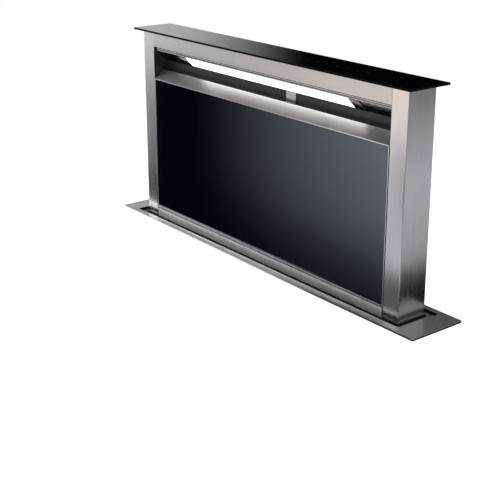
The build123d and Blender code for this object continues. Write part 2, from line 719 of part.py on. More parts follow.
# ---- column: two pillars, a fascia, a lower panel, a back and a cap ----
EDGE_BREAK = 0.4


def pillar(side):
    """A C-shaped upright, open towards the middle, with the shaft's hole in its web."""
    with BuildPart() as upright:
        height = (column_bottom, column_top)
        block(span(side, bay, side_face), (front_face, front_inner), height)
        block(span(side, side_inner, side_face), (front_face, rear_face), height)
        block(span(side, side_face - REAR_RETURN, side_face), (rear_inner, rear_face), height)
        corners = upright.edges().filter_by(Axis.Z).group_by(Axis.X)[-1 if side > 0 else 0]
        fillet(corners, BEND_RADIUS)
        inner_edge = upright.edges().filter_by(Axis.Z).group_by(Axis.X)[0 if side > 0 else -1]
        chamfer(inner_edge.sort_by(Axis.Y)[0], EDGE_BREAK)
        web = span(side, side_inner, side_face)
        rod_x(web, SHAFT_Y, shaft_z, SHAFT_RADIUS + BUSH_WALL, Mode.SUBTRACT)
    return upright


for side, name in ((-1, "pillar_left"), (1, "pillar_right")):
    save(pillar(side), name)

TAB_REACH = 8
fascia_end = bay - SEAM
with BuildPart() as fascia:
    block((-fascia_end, fascia_end), (front_face, front_inner), (fascia_bottom, column_top))
    block((-fascia_end, fascia_end), (front_inner, front_inner + 5), (fascia_bottom, fascia_bottom + SHEET))
    chamfer(fascia.edges().filter_by(Axis.X).group_by(Axis.Y)[0], EDGE_BREAK)
    for side in (-1, 1):
        tab_z = (fascia_bottom + 6, column_top - 4)
        tab_x = span(side, fascia_end - TAB_REACH, bay + TAB_REACH)
        block(tab_x, (front_inner, front_inner + SHEET), tab_z)
save(fascia, "fascia")

cap_under = column_top - SHEET
with BuildPart() as column_back:
    reach = side_face - REAR_RETURN + 12
    block((-reach, reach), (rear_inner - SHEET, rear_inner), (column_bottom, cap_under))
save(column_back, "column_back")

TOUCH_X = (130, 330)
TOUCH_Y = (-24, -6)
TOUCH_HEIGHT = 14
with BuildPart() as column_cap:
    block((-side_inner, side_inner), (front_inner, rear_inner), (cap_under, column_top))
    block(TOUCH_X, TOUCH_Y, (cap_under, column_top), Mode.SUBTRACT)
save(column_cap, "column_cap")

GLASS_BEVEL = 0.7
with BuildPart() as top_glass:
    rounded_slab(GLASS_WIDTH, GLASS_DEPTH, (column_top, glass_top), 1.5)
    flat_faces = top_glass.faces().filter_by(Axis.Z)
    chamfer(flat_faces.edges(), GLASS_BEVEL)
save(top_glass, "top_glass")

with BuildPart() as touch_module:
    block(TOUCH_X, TOUCH_Y, (column_top - TOUCH_HEIGHT, column_top))
save(touch_module, "touch_module")

DOOR_SWING_GAP = 2.4
RAIL_END_GAP = 2.3
rail_end = bay - RAIL_END_GAP
lower_top = door_bottom - DOOR_SWING_GAP
with BuildPart() as lower_panel:
    block((-rail_end, rail_end), (front_face, front_inner), (column_bottom, lower_top))
    block((-rail_end, rail_end), (front_inner, FILTER_REAR), (lower_top - SHEET, lower_top))
    chamfer(lower_panel.edges().filter_by(Axis.X).group_by(Axis.Y)[0], EDGE_BREAK)
    for side in (-1, 1):
        tab_x = span(side, rail_end - TAB_REACH, bay + TAB_REACH)
        block(tab_x, (front_inner, front_inner + SHEET), (column_bottom + 10, -10))
save(lower_panel, "lower_panel")

# ---- door: glass in a steel pan with a sloped lip, on two stub pins ----
door_side = bay - DOOR_SIDE_GAP
glass_side = door_side - DOOR_TRIM
pan_front = front_face + DOOR_GLASS_THICKNESS
hinge_y = front_face + HINGE_INSET
hinge_z = door_bottom + HINGE_LIFT
glass_low = door_bottom + DOOR_TRIM
glass_high = door_top - DOOR_TRIM


def lip_height(y):
    """The lip's upper surface above a place in depth."""
    return door_top + (y - front_face) * LIP_RISE / LIP_DEPTH


with BuildPart() as door_panel:
    return_y = (front_face, front_face + DOOR_RETURN)
    plate_z = (door_bottom, lip_height(pan_front) - 1)
    block((-glass_side, glass_side), (pan_front, pan_front + SHEET), plate_z)
    block((-door_side, door_side), return_y, (door_bottom, glass_low))
    for side in (-1, 1):
        block(span(side, glass_side, door_side), return_y, (door_bottom, door_top))
    lip_end = front_face + LIP_DEPTH
    lip_outline = [
        (front_face, glass_high),
        (front_face, door_top),
        (lip_end, lip_height(lip_end)),
        (lip_end, lip_height(lip_end) - 2),
        (pan_front, lip_height(pan_front) - 2),
        (pan_front, glass_high),
    ]
    with BuildSketch(Plane.YZ.offset(-door_side)) as lip:
        with BuildLine():
            Polyline(*lip_outline, close=True)
        make_face()
    extrude(lip.sketch, amount=2 * door_side)
    for side in (-1, 1):
        rod_x(span(side, glass_side, door_side), hinge_y, hinge_z, HINGE_PIN_RADIUS, Mode.SUBTRACT)
save(door_panel, "door_panel")

with BuildPart() as door_glass:
    block((-glass_side, glass_side), (front_face, pan_front), (glass_low, glass_high))
    chamfer(door_glass.faces().sort_by(Axis.Y)[0].edges(), EDGE_BREAK)
save(door_glass, "door_glass")

BRACKET_GAP = 0.5
BRACKET_WIDTH = 7.5
with BuildPart() as door_hinge_pins:
    for side in (-1, 1):
        rod_x(span(side, glass_side, bay + BRACKET_WIDTH - 2), hinge_y, hinge_z, HINGE_PIN_RADIUS)
save(door_hinge_pins, "door_hinge_pins")

with BuildPart() as door_hinge_brackets:
    for side in (-1, 1):
        width = span(side, bay + BRACKET_GAP, bay + BRACKET_GAP + BRACKET_WIDTH)
        block(width, (front_inner, hinge_y + 5), (hinge_z - 6, hinge_z + 8))
        rod_x(width, hinge_y, hinge_z, HINGE_PIN_RADIUS + RUNNING_GAP, Mode.SUBTRACT)
save(door_hinge_brackets, "door_hinge_brackets")

# ---- lamp: a folded carrier behind the fascia, tube, holders, driver and diffuser ----
carrier_front_y = front_face + CARRIER_FRONT
carrier_fold = fascia_bottom - CARRIER_DROP + 1
slope_end_y = carrier_front_y + LAMP_SLOPE_DEPTH
carrier_bottom = carrier_fold - LAMP_SLOPE_DEPTH
CARRIER_FLOOR = 9
carrier_rear = slope_end_y + CARRIER_FLOOR
slope_middle = ((carrier_front_y + slope_end_y) / 2, (carrier_fold + carrier_bottom) / 2)
slope_length = LAMP_SLOPE_DEPTH * math.sqrt(2)
diffuser_width = slope_length - 2 * DIFFUSER_MARGIN
slope_plane = Plane((0, *slope_middle), x_dir=(1, 0, 0), z_dir=(0, -1, -1))
TUBE_DEPTH = 12  # tube's axis behind the slope
tube_y = slope_middle[0] + TUBE_DEPTH / math.sqrt(2)
tube_z = slope_middle[1] + TUBE_DEPTH / math.sqrt(2)

with BuildPart() as lamp_carrier:
    with BuildSketch(Plane.YZ.offset(-bay)) as fold:
        with BuildLine():
            Polyline(
                (carrier_front_y, fascia_bottom),
                (carrier_front_y, carrier_fold),
                (slope_end_y, carrier_bottom),
                (carrier_rear, carrier_bottom),
                (carrier_rear, cap_under),
            )
            offset(amount=CARRIER_SHEET, side=Side.LEFT)
        make_face()
    extrude(fold.sketch, amount=2 * bay)
    with BuildSketch(slope_plane.offset(-2 * CARRIER_SHEET)) as window:
        Rectangle(LAMP_LENGTH, diffuser_width)
    extrude(window.sketch, amount=3 * CARRIER_SHEET, mode=Mode.SUBTRACT)
save(lamp_carrier, "lamp_carrier")

DIFFUSER_PROUD = 0.8
with BuildPart() as lamp_diffuser:
    with BuildSketch(slope_plane.offset(DIFFUSER_PROUD - DIFFUSER_THICKNESS)) as strip:
        RectangleRounded(LAMP_LENGTH, diffuser_width, 1)
    extrude(strip.sketch, amount=DIFFUSER_THICKNESS)
save(lamp_diffuser, "lamp_diffuser")

CLIP_WIDTH = 6
with BuildPart() as diffuser_clips:
    for side in (-1, 1):
        with BuildSketch(slope_plane) as clip:
            with Locations((side * (LAMP_LENGTH + CLIP_WIDTH) / 2, 0)):
                Rectangle(CLIP_WIDTH, diffuser_width / 2)
        extrude(clip.sketch, amount=1.5)
        with BuildSketch(slope_plane.offset(DIFFUSER_PROUD)) as tongue:
            with Locations((side * (LAMP_LENGTH / 2 - 2), 0)):
                Rectangle(CLIP_WIDTH, diffuser_width / 3)
        extrude(tongue.sketch, amount=0.7)
save(diffuser_clips, "diffuser_clips")

with BuildPart() as lamp_tube:
    rod_x((-LAMP_LENGTH / 2, LAMP_LENGTH / 2), tube_y, tube_z, TUBE_RADIUS)
save(lamp_tube, "lamp_tube")

carrier_rear_inner = carrier_rear - CARRIER_SHEET
with BuildPart() as lamp_holders:
    for side in (-1, 1):
        width = span(side, LAMP_LENGTH / 2, LAMP_LENGTH / 2 + 13)
        block(width, (tube_y - TUBE_RADIUS, carrier_rear_inner), (tube_z - 5, tube_z + 12))
save(lamp_holders, "lamp_holders")

with BuildPart() as lamp_driver:
    block((-190, -40), (carrier_rear_inner - 21, carrier_rear_inner), (cap_under - 20, cap_under))
save(lamp_driver, "lamp_driver")

# ---- intake chamber: cheeks, baffle, stay, filter frame, filters, tray ----
CHEEK_GAP = 1
with BuildPart() as chamber_cheeks:
    for side in (-1, 1):
        depth = (front_inner + SHEET, FILTER_REAR)
        block(span(side, bay, bay + SHEET), depth, (hinge_z + 8 + CHEEK_GAP, cap_under))
save(chamber_cheeks, "chamber_cheeks")

BAFFLE_ABOVE_FILTER = 4
BAFFLE_LAP = 12
keeper_z = carrier_bottom - STAY_HEIGHT - SHEET
baffle_low = keeper_z - 2
filter_bottom = lower_top + TRAY_HEIGHT + 3.4
filter_top = baffle_low - BAFFLE_ABOVE_FILTER
filter_front = FILTER_REAR - FILTER_THICKNESS
filter_inner = FILTER_APART / 2
filter_outer = bay - FILTER_SIDE_GAP
filter_middle = (filter_inner + filter_outer) / 2
KEEPER_REACH = 6
TONGUE_WIDTH = 16
TONGUE_Y = (-0.8, 1.2)
with BuildPart() as rear_baffle:
    width = (-bay, bay)
    block(width, (carrier_rear, carrier_rear + SHEET), (baffle_low, carrier_bottom + BAFFLE_LAP))
    block(width, (carrier_rear + SHEET, FILTER_REAR), (baffle_low, baffle_low + SHEET))
    block(width, (carrier_rear - KEEPER_REACH, carrier_rear), (keeper_z, keeper_z + SHEET))
    for side in (-1, 1):
        notch = span(side, filter_middle - TONGUE_WIDTH / 2 - 1, filter_middle + TONGUE_WIDTH / 2 + 1)
        notch_y = (TONGUE_Y[0] - BODY_GAP, TONGUE_Y[1] + BODY_GAP)
        block(notch, notch_y, (keeper_z, keeper_z + SHEET), Mode.SUBTRACT)
save(rear_baffle, "rear_baffle")

STAY_X = (45, 72)
with BuildPart() as centre_stay:
    block(STAY_X, (carrier_rear - 3, carrier_rear), (keeper_z + SHEET, carrier_bottom))
save(centre_stay, "centre_stay")

FILTER_RIM = 10
LEDGE_WIDTH = 80
with BuildPart() as filter_frame:
    plate_y = (FILTER_REAR, FILTER_REAR + SHEET)
    plate_z = (lower_top - SHEET, baffle_low + 30)
    block((-side_inner, side_inner), plate_y, plate_z)
    for side in (-1, 1):
        window_x = span(side, filter_inner + 12, filter_outer - 12)
        block(window_x, plate_y, (filter_bottom + 12, filter_top - 12), Mode.SUBTRACT)
        ledge_x = span(side, filter_middle - LEDGE_WIDTH / 2, filter_middle + LEDGE_WIDTH / 2)
        block(ledge_x, (filter_front, FILTER_REAR), (filter_bottom - SHEET, filter_bottom))
save(filter_frame, "filter_frame")

LATCH_WIDTH = 30
GUIDE_WIDTH = 5
MESH_THICKNESS = 4
latch_front = filter_front - BODY_GAP - 2.5


def grease_filter(side):
    """A filter cassette: rim, mesh pack and the guides of its latch."""
    with BuildPart() as cassette:
        width = span(side, filter_inner, filter_outer)
        depth = (filter_front, FILTER_REAR)
        block(width, depth, (filter_bottom, filter_top))
        hollow = span(side, filter_inner + FILTER_RIM, filter_outer - FILTER_RIM)
        inside_z = (filter_bottom + FILTER_RIM, filter_top - FILTER_RIM)
        mesh_y = (FILTER_REAR - 2 - MESH_THICKNESS, FILTER_REAR - 2)
        block(hollow, (filter_front, mesh_y[0]), inside_z, Mode.SUBTRACT)
        block(hollow, (mesh_y[1], FILTER_REAR), inside_z, Mode.SUBTRACT)
        guide_z = (filter_top - FILTER_RIM, filter_top)
        near = LATCH_WIDTH / 2 + BODY_GAP
        lip_y = (latch_front - BODY_GAP - 1.4, latch_front - BODY_GAP)
        for hand in (-1, 1):
            wall = span(hand, near, near + GUIDE_WIDTH)
            lip = span(hand, near - 4, near + GUIDE_WIDTH)
            middle = side * filter_middle
            block([middle + x for x in wall], (lip_y[0], filter_front), guide_z)
            block([middle + x for x in lip], lip_y, guide_z)
    return cassette


for side, name in ((-1, "grease_filter_left"), (1, "grease_filter_right")):
    save(grease_filter(side), name)

LATCH_BELOW = 22  # latch plate below the filter's top
LATCH_ABOVE = 2
TONGUE_ABOVE = 1.5  # past the keeper


def filter_latch(side):
    """A sprung slide on a filter: plate, finger ledge and the tongue that the keeper holds."""
    with BuildPart() as slide:
        middle = side * filter_middle
        plate_x = (middle - LATCH_WIDTH / 2, middle + LATCH_WIDTH / 2)
        plate_y = (latch_front, filter_front - BODY_GAP)
        low = filter_top - LATCH_BELOW
        block(plate_x, plate_y, (low, filter_top + LATCH_ABOVE))
        block(plate_x, (latch_front - 7, latch_front), (low, low + 2.5))
        tongue = (middle - TONGUE_WIDTH / 2, middle + TONGUE_WIDTH / 2)
        block(tongue, TONGUE_Y, (filter_top, keeper_z + SHEET + TONGUE_ABOVE))
    return slide


for side, name in ((-1, "filter_latch_left"), (1, "filter_latch_right")):
    save(filter_latch(side), name)

TRAY_WALL = 1.2
TRAY_END = bay - 12
with BuildPart() as grease_tray:
    tray_y = (FILTER_REAR - TRAY_DEPTH, FILTER_REAR)
    block((-TRAY_END, TRAY_END), tray_y, (lower_top, lower_top + TRAY_HEIGHT))
    tray_inside = (tray_y[0] + TRAY_WALL, tray_y[1] - TRAY_WALL)
    inner_end = TRAY_END - TRAY_WALL
    tray_z = (lower_top + TRAY_WALL, lower_top + TRAY_HEIGHT)
    block((-inner_end, inner_end), tray_inside, tray_z, Mode.SUBTRACT)
save(grease_tray, "grease_tray")

# ---- lift drive in the column's foot ----
with BuildPart() as shaft_bushes:
    for side in (-1, 1):
        inner = side_inner - 2
        rod_x(span(side, inner, side_face + 3), SHAFT_Y, shaft_z, SHAFT_RADIUS + BUSH_WALL)
        rod_x(span(side, inner, side_inner), SHAFT_Y, shaft_z, SHAFT_RADIUS + BUSH_WALL + 1)
        bore = SHAFT_RADIUS + RUNNING_GAP
        rod_x(span(side, inner, side_face + 3), SHAFT_Y, shaft_z, bore, Mode.SUBTRACT)
save(shaft_bushes, "shaft_bushes")

GEARBOX_HALF = 22
LIFT_MOTOR_RADIUS = 20
with BuildPart() as lift_gearmotor:
    back = rear_inner - SHEET
    gear_z = (shaft_z - 25, shaft_z + 20)
    block((-GEARBOX_HALF, GEARBOX_HALF), (-16, back), gear_z)
    fillet(lift_gearmotor.edges().filter_by(Axis.Z), 4)
    block((-40, 40), (back - 3, back), (gear_z[0] + 5, gear_z[1] - 5))
    rod_z(0, -4, (gear_z[1], gear_z[1] + 8), LIFT_MOTOR_RADIUS - 3)
    rod_z(0, -4, (gear_z[1] + 8, gear_z[1] + 85), LIFT_MOTOR_RADIUS)
    rod_x((-GEARBOX_HALF, GEARBOX_HALF), SHAFT_Y, shaft_z, SHAFT_RADIUS + RUNNING_GAP, Mode.SUBTRACT)
save(lift_gearmotor, "lift_gearmotor")
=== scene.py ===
# %% [markdown]
# # Dressing a rising downdraft vent
# A steel column with a black glass door rises out of a flange in the worktop.
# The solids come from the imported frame, in metres, with +X to the right, -Y
# towards the cook and +Z up. This lesson adds the camera, the studio, the
# finishes and the finer pieces: pressed panels, filter mesh and screw heads.

# %% Load the frame
import json
import math

import bmesh
import bpy
import numpy as np
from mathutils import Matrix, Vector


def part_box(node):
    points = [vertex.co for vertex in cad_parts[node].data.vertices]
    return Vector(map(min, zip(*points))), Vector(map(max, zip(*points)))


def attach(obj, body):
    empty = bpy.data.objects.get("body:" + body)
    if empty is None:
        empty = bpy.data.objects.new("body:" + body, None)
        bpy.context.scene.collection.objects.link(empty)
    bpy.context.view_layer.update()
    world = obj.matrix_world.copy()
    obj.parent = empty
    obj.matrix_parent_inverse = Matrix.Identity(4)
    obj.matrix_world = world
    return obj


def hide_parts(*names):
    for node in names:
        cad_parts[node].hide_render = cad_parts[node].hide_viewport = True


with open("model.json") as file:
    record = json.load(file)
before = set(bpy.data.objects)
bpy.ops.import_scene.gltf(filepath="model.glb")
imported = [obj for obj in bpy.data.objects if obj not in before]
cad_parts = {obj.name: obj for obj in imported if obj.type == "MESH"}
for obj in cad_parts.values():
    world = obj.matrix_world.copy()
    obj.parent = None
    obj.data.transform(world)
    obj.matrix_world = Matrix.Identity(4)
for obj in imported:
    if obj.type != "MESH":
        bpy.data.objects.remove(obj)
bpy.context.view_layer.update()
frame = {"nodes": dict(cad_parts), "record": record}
nodes = frame["nodes"]

# %% [markdown]
# ## The camera
# It stands to the right and above, turned about 52 degrees from the front.
# The lens is long, so the column's edges hardly converge. A small vertical
# shift keeps the object where the picture frames it.

# %% Place the camera
PICTURE_WIDTH, FOCAL_LENGTH, SHIFT_DOWN = 492, 1060.51, 40  # pixels
SENSOR_WIDTH, PITCH_DOWN, TURN = 36, 0.3144, 0.9077  # millimetres, radians, radians
camera_data = bpy.data.cameras.new("studio_camera")
camera = bpy.data.objects.new("studio_camera", camera_data)
bpy.context.scene.collection.objects.link(camera)
camera.location = (1.5011, -1.2296, 0.7466)
camera.rotation_euler = (math.pi / 2 - PITCH_DOWN, 0, TURN)
camera_data.sensor_width = SENSOR_WIDTH
camera_data.lens = FOCAL_LENGTH * SENSOR_WIDTH / PICTURE_WIDTH
camera_data.shift_y = -SHIFT_DOWN / PICTURE_WIDTH
camera_data.clip_start = 0.01
bpy.context.scene.camera = camera
bpy.context.scene.view_settings.view_transform = "Standard"
print("lens:", round(camera_data.lens, 1), "mm")

# %% [markdown]
# ## Helpers for node trees
# A material is a small graph. These helpers add a node and give each of its
# inputs a value or a wire, so that the recipes below read as lists of layers.

# %% Node helpers


def is_socket(value):
    """Whether a value is a socket and not plain."""
    return isinstance(value, bpy.types.NodeSocket)


def feed(target, value):
    """An input socket takes a wire from an output socket, or a plain value."""
    if is_socket(value):
        target.id_data.links.new(value, target)
    else:
        target.default_value = value


def set_inputs(node, **values):
    """Inputs of a node by name, with spaces written as underscores."""
    for name, value in values.items():
        feed(node.inputs[name.replace("_", " ")], value)


def add_node(tree, kind, **values):
    """A shader node of a kind, with its properties and its inputs set by name."""
    node = tree.nodes.new("ShaderNode" + kind)
    for name, value in values.items():
        if hasattr(node, name):
            setattr(node, name, value)
        else:
            set_inputs(node, **{name: value})
    return node


def ordered(kind, *values, **properties):
    """A node in the tree of its values, which its inputs take in order; returns its first output."""
    node = add_node(next(filter(is_socket, values)).id_data, kind, **properties)
    for slot, value in enumerate(values):
        feed(node.inputs[slot], value)
    return node.outputs[0]


def texture(kind, vector, **values):
    """The outputs of a texture node on a vector."""
    return add_node(vector.id_data, "Tex" + kind, Vector=vector, **values).outputs


def maths(operation, *values):
    """A Math node on sockets or numbers."""
    return ordered("Math", *values, operation=operation)


def times(first, second):
    """The product of two sockets or numbers."""
    return maths("MULTIPLY", first, second)


def plus(first, second):
    """The sum of two sockets or numbers."""
    return maths("ADD", first, second)


def minus(first, second):
    """The difference of two sockets or numbers."""
    return maths("SUBTRACT", first, second)


def remap(value, low, high, to_low=0.0, to_high=1.0, smooth=False):
    """A Map Range node: low..high becomes to_low..to_high, held at its ends."""
    return ordered("MapRange", value, low, high, to_low, to_high,
                   interpolation_type="SMOOTHSTEP" if smooth else "LINEAR", clamp=True)


def mix_colour(factor, first, second):
    """A colour mix by a factor's socket; first and second are sockets or plain values."""
    node = add_node(factor.id_data, "Mix", data_type="RGBA")
    for slot, value in ((0, factor), (6, first), (7, second)):
        feed(node.inputs[slot], value)
    return node.outputs[2]


def mix_shaders(factor, first, second):
    """A Mix Shader node between two shaders."""
    return ordered("MixShader", factor, first, second)


def seen_directly(tree):
    """1 for rays from the camera, also on through clear surfaces, and 0 for all others."""
    path = add_node(tree, "LightPath")
    return maths("MAXIMUM", path.outputs["Is Camera Ray"], path.outputs["Is Transmission Ray"])


print("node helpers ready")

# %% [markdown]
# ## The studio
# The worktop is a sheet at the flange's underside with the cut-out left open.
# Seen from above it is white; seen from below it lets everything through, so
# the casing that hangs under it shows in the side and back views. Its outline
# reaches towards the camera, where it has to hide the casing. A second pale
# floor lies under the casing. Neither takes light away from the object.

# %% White floor
WHITE = (1, 1, 1, 1)


def blank_material(name):
    """A material, its emptied tree and its output node."""
    material = bpy.data.materials.new(name)
    material.use_nodes = True
    tree = material.node_tree
    tree.nodes.clear()
    return material, tree, add_node(tree, "OutputMaterial")


def show_from_above(shader, output):
    """The shader on faces seen from their front; those seen from behind are clear."""
    face = add_node(shader.id_data, "NewGeometry")
    clear = add_node(shader.id_data, "BsdfTransparent")
    set_inputs(output, Surface=mix_shaders(face.outputs["Backfacing"], shader, clear.outputs[0]))


def pale_floor(name, base):
    """White seen from above, with the object's soft shadow, and clear from below.

    The camera sees base + what the lamps add, which passes 1 away from shadows.
    """
    material, tree, output = blank_material(name)
    shade = add_node(tree, "BsdfDiffuse", Color=(0.8, 0.8, 0.8, 1))
    strength = times(seen_directly(tree), base)
    glow = add_node(tree, "Emission", Color=WHITE, Strength=strength)
    both = ordered("AddShader", shade.outputs[0], glow.outputs[0])
    show_from_above(both, output)
    return material


def flat_sheet(name, outline, z, material):
    """A level sheet that faces up: one face with its corners anticlockwise."""
    mesh = bpy.data.meshes.new(name)
    mesh.from_pydata([(x, y, z) for x, y in outline], [], [tuple(range(len(outline)))])
    mesh.materials.append(material)
    sheet = bpy.data.objects.new(name, mesh)
    bpy.context.scene.collection.objects.link(sheet)
    return sheet


def square(half):
    """The corners of a square about the origin."""
    return [(-half, -half), (half, -half), (half, half), (-half, half)]


WORKTOP_OUTLINE = [
    (-0.437, -0.057), (-0.437, -0.25), (0.28, -0.96), (1.51, -1.64), (1.93, -1.10),
    (0.437, 0.04), (0.437, -0.057),
]
FLOOR_LEVEL, FLOOR_HALF, PALE_BASE = -0.6925, 4, 0.80
worktop = flat_sheet("worktop", WORKTOP_OUTLINE, 0.0, pale_floor("white_worktop", PALE_BASE))
worktop.visible_shadow = False
worktop.visible_glossy = False
flat_sheet("lower_floor", square(FLOOR_HALF), FLOOR_LEVEL, pale_floor("pale_floor", PALE_BASE))
print("worktop and floor laid")

# %% [markdown]
# ## What the polished surfaces see
# Metal and glass show their surroundings, so a product studio is mostly cards
# and flags. One wide card lies level with the worktop and is seen only in
# reflections. A place on it shows at one place on the column's front, found by
# similar triangles from the camera's height and distance. The card is painted
# by those places: black for the left of the door, bright for its upper right,
# a lighter band for the fascia, and a band of its own for each pillar and for
# the side. What lies behind the column has its own ramp, for the back.

# %% The reflected card
FRONT_FACE, SIDE_FACE = -0.032, 0.380
FRONT_DISTANCE = FRONT_FACE - camera.location[1]
SIDE_DISTANCE = camera.location[0] - SIDE_FACE
DOOR_ACROSS = ((-0.20, 0.0), (-0.13, 0.06), (-0.06, 0.19), (0.0, 0.34), (0.07, 0.58),
               (0.14, 0.82), (0.20, 1.04), (0.26, 1.24), (0.34, 1.55))
DOOR_UP = ((0.0, 0.05), (0.05, 0.12), (0.09, 0.25), (0.14, 0.55), (0.19, 0.80), (0.285, 1.0))
FASCIA_ACROSS = ((-0.36, 1.05), (-0.20, 0.62), (0.0, 0.64), (0.15, 0.76), (0.33, 1.10))
LEFT_PILLAR_UP = ((0.0, 0.10), (0.06, 0.12), (0.15, 0.46), (0.27, 0.60), (0.36, 1.05))
RIGHT_PILLAR_UP = ((0.0, 0.24), (0.087, 0.0), (0.099, 0.84), (0.19, 0.50), (0.28, 0.0),
                   (0.30, 0.02), (0.34, 0.75))
SIDE_UP = ((0.0, 0.0), (0.088, 0.0), (0.110, 0.46), (0.18, 0.53), (0.25, 0.62), (0.31, 0.50), (0.38, 0.16))
RIM_ACROSS = ((-0.44, 1.9), (-0.30, 2.0), (0.0, 1.0), (0.20, 0.06), (0.44, 0.03))
BEHIND = ((0.04, 0.30), (0.5, 0.62), (1.2, 0.95), (2.0, 0.55), (4.0, 0.85))
LEFT_EDGE, RIGHT_EDGE, FRONT_EDGE = (-0.336, -0.348), (0.338, 0.348), (-0.036, -0.030)
FASCIA_FOOT, RIM_REACH, BACK_SLANT, BACK_EDGE = (0.315, 0.345), 0.078, 1.7, (0.12, 0.30)
COOL_TINT, WARM_TINT, WARM_SPAN = (0.97, 0.97, 1.03, 1), (1.10, 0.98, 0.90, 1), (-0.05, 0.30)
RAMP_TOP, CARD_HALF, CARD_LEVEL = 2.0, 6, -0.002


def ramp(value, stops):
    """A ColorRamp through stops of (place, level); levels up to RAMP_TOP."""
    low, high = stops[0][0], stops[-1][0]
    node = add_node(value.id_data, "ValToRGB")
    elements = node.color_ramp.elements
    while len(elements) < len(stops):
        elements.new(1.0)
    for element, (place, level) in zip(elements, stops):
        element.position = (place - low) / (high - low)
        element.color = (level / RAMP_TOP,) * 3 + (1,)
    feed(node.inputs[0], remap(value, low, high))
    return times(node.outputs[0], RAMP_TOP)


def reflected_card():
    """Light by place: the card's x and y become the place on the column that mirrors them."""
    material, tree, output = blank_material("reflected_card")
    place = add_node(tree, "TexCoord")
    split = add_node(tree, "SeparateXYZ", Vector=place.outputs["Object"])
    x, y = split.outputs[0], split.outputs[1]

    def mirrored(value, face, distance):
        """How far a place lies beyond a face, in camera distances, and the height that mirrors it."""
        reach = maths("MAXIMUM", times(minus(value, face), 1 / distance), 0.0)
        return reach, maths("DIVIDE", times(reach, camera.location[2]), plus(reach, 1.0))

    ahead, up = mirrored(y, FRONT_FACE, -FRONT_DISTANCE)
    across = plus(x, times(ahead, camera.location[0]))
    across = maths("DIVIDE", across, plus(ahead, 1.0))
    is_left = remap(across, *LEFT_EDGE)
    is_right = remap(across, *RIGHT_EDGE)
    is_fascia = remap(up, *FASCIA_FOOT)
    is_rim = maths("LESS_THAN", ahead, (RIM_REACH + FRONT_FACE) / FRONT_DISTANCE)
    side_up = mirrored(x, SIDE_FACE, SIDE_DISTANCE)[1]
    is_behind = remap(y, *FRONT_EDGE)
    slant = times(maths("MAXIMUM", minus(x, SIDE_FACE), 0.0), BACK_SLANT)
    is_back = remap(minus(y, slant), *BACK_EDGE)

    level = times(ramp(across, DOOR_ACROSS), ramp(up, DOOR_UP))
    for mask, value, stops in (
        (is_left, up, LEFT_PILLAR_UP), (is_right, up, RIGHT_PILLAR_UP), (is_fascia, across, FASCIA_ACROSS),
        (is_rim, x, RIM_ACROSS), (is_behind, side_up, SIDE_UP), (is_back, y, BEHIND),
    ):
        level = mix_colour(mask, level, ramp(value, stops))
    warm = times(remap(across, *WARM_SPAN, smooth=True), is_fascia)
    tint = mix_colour(warm, COOL_TINT, WARM_TINT)
    glow = add_node(tree, "Emission", Color=tint, Strength=level)
    show_from_above(glow.outputs[0], output)
    return material


card = flat_sheet("reflected_card", square(CARD_HALF), CARD_LEVEL, reflected_card())
for ray in ("camera", "diffuse", "shadow", "transmission"):
    setattr(card, "visible_" + ray, False)
print("card levels from", DOOR_ACROSS[0][1], "to", DOOR_ACROSS[-1][1])

# %% [markdown]
# ## World and lamps
# The world is white behind the object. For light and reflections it is a soft
# dome. Dark flags stand low at the back, which turns the right end of the glass
# top and flange dark while their left end stays light, at the front left, and
# higher at the left, where the door's sloped lip looks. A bright strip below
# that flag shows in the lower rail.

# %% Light the studio
# A sector has a heading, an outer and an inner edge, all in degrees; a band has two heights.
BACK_FLAG, SIDE_FLAG, LIP_FLAG, RAIL_STRIP = (100, 46.5, 38.5), (246, 36, 22), (206, 50, 40), (206, 30, 14)
FLAG_BAND, LIP_BAND, RAIL_BAND, ZENITH_BAND = (0.22, 0.32), (0.36, 0.42), (0.06, 0.20), (0.72, 0.90)
DOME_LEVEL, FLAG_LEVEL, FLAG_GAIN, SIDE_LEVEL, LIP_DARKNESS, RAIL_LEVEL = 1.1, 0.12, 0.18, 0.05, 0.95, 3.6
DOME_STRENGTH, SOFT_GREY = 0.85, (0.72, 0.72, 0.73, 1)


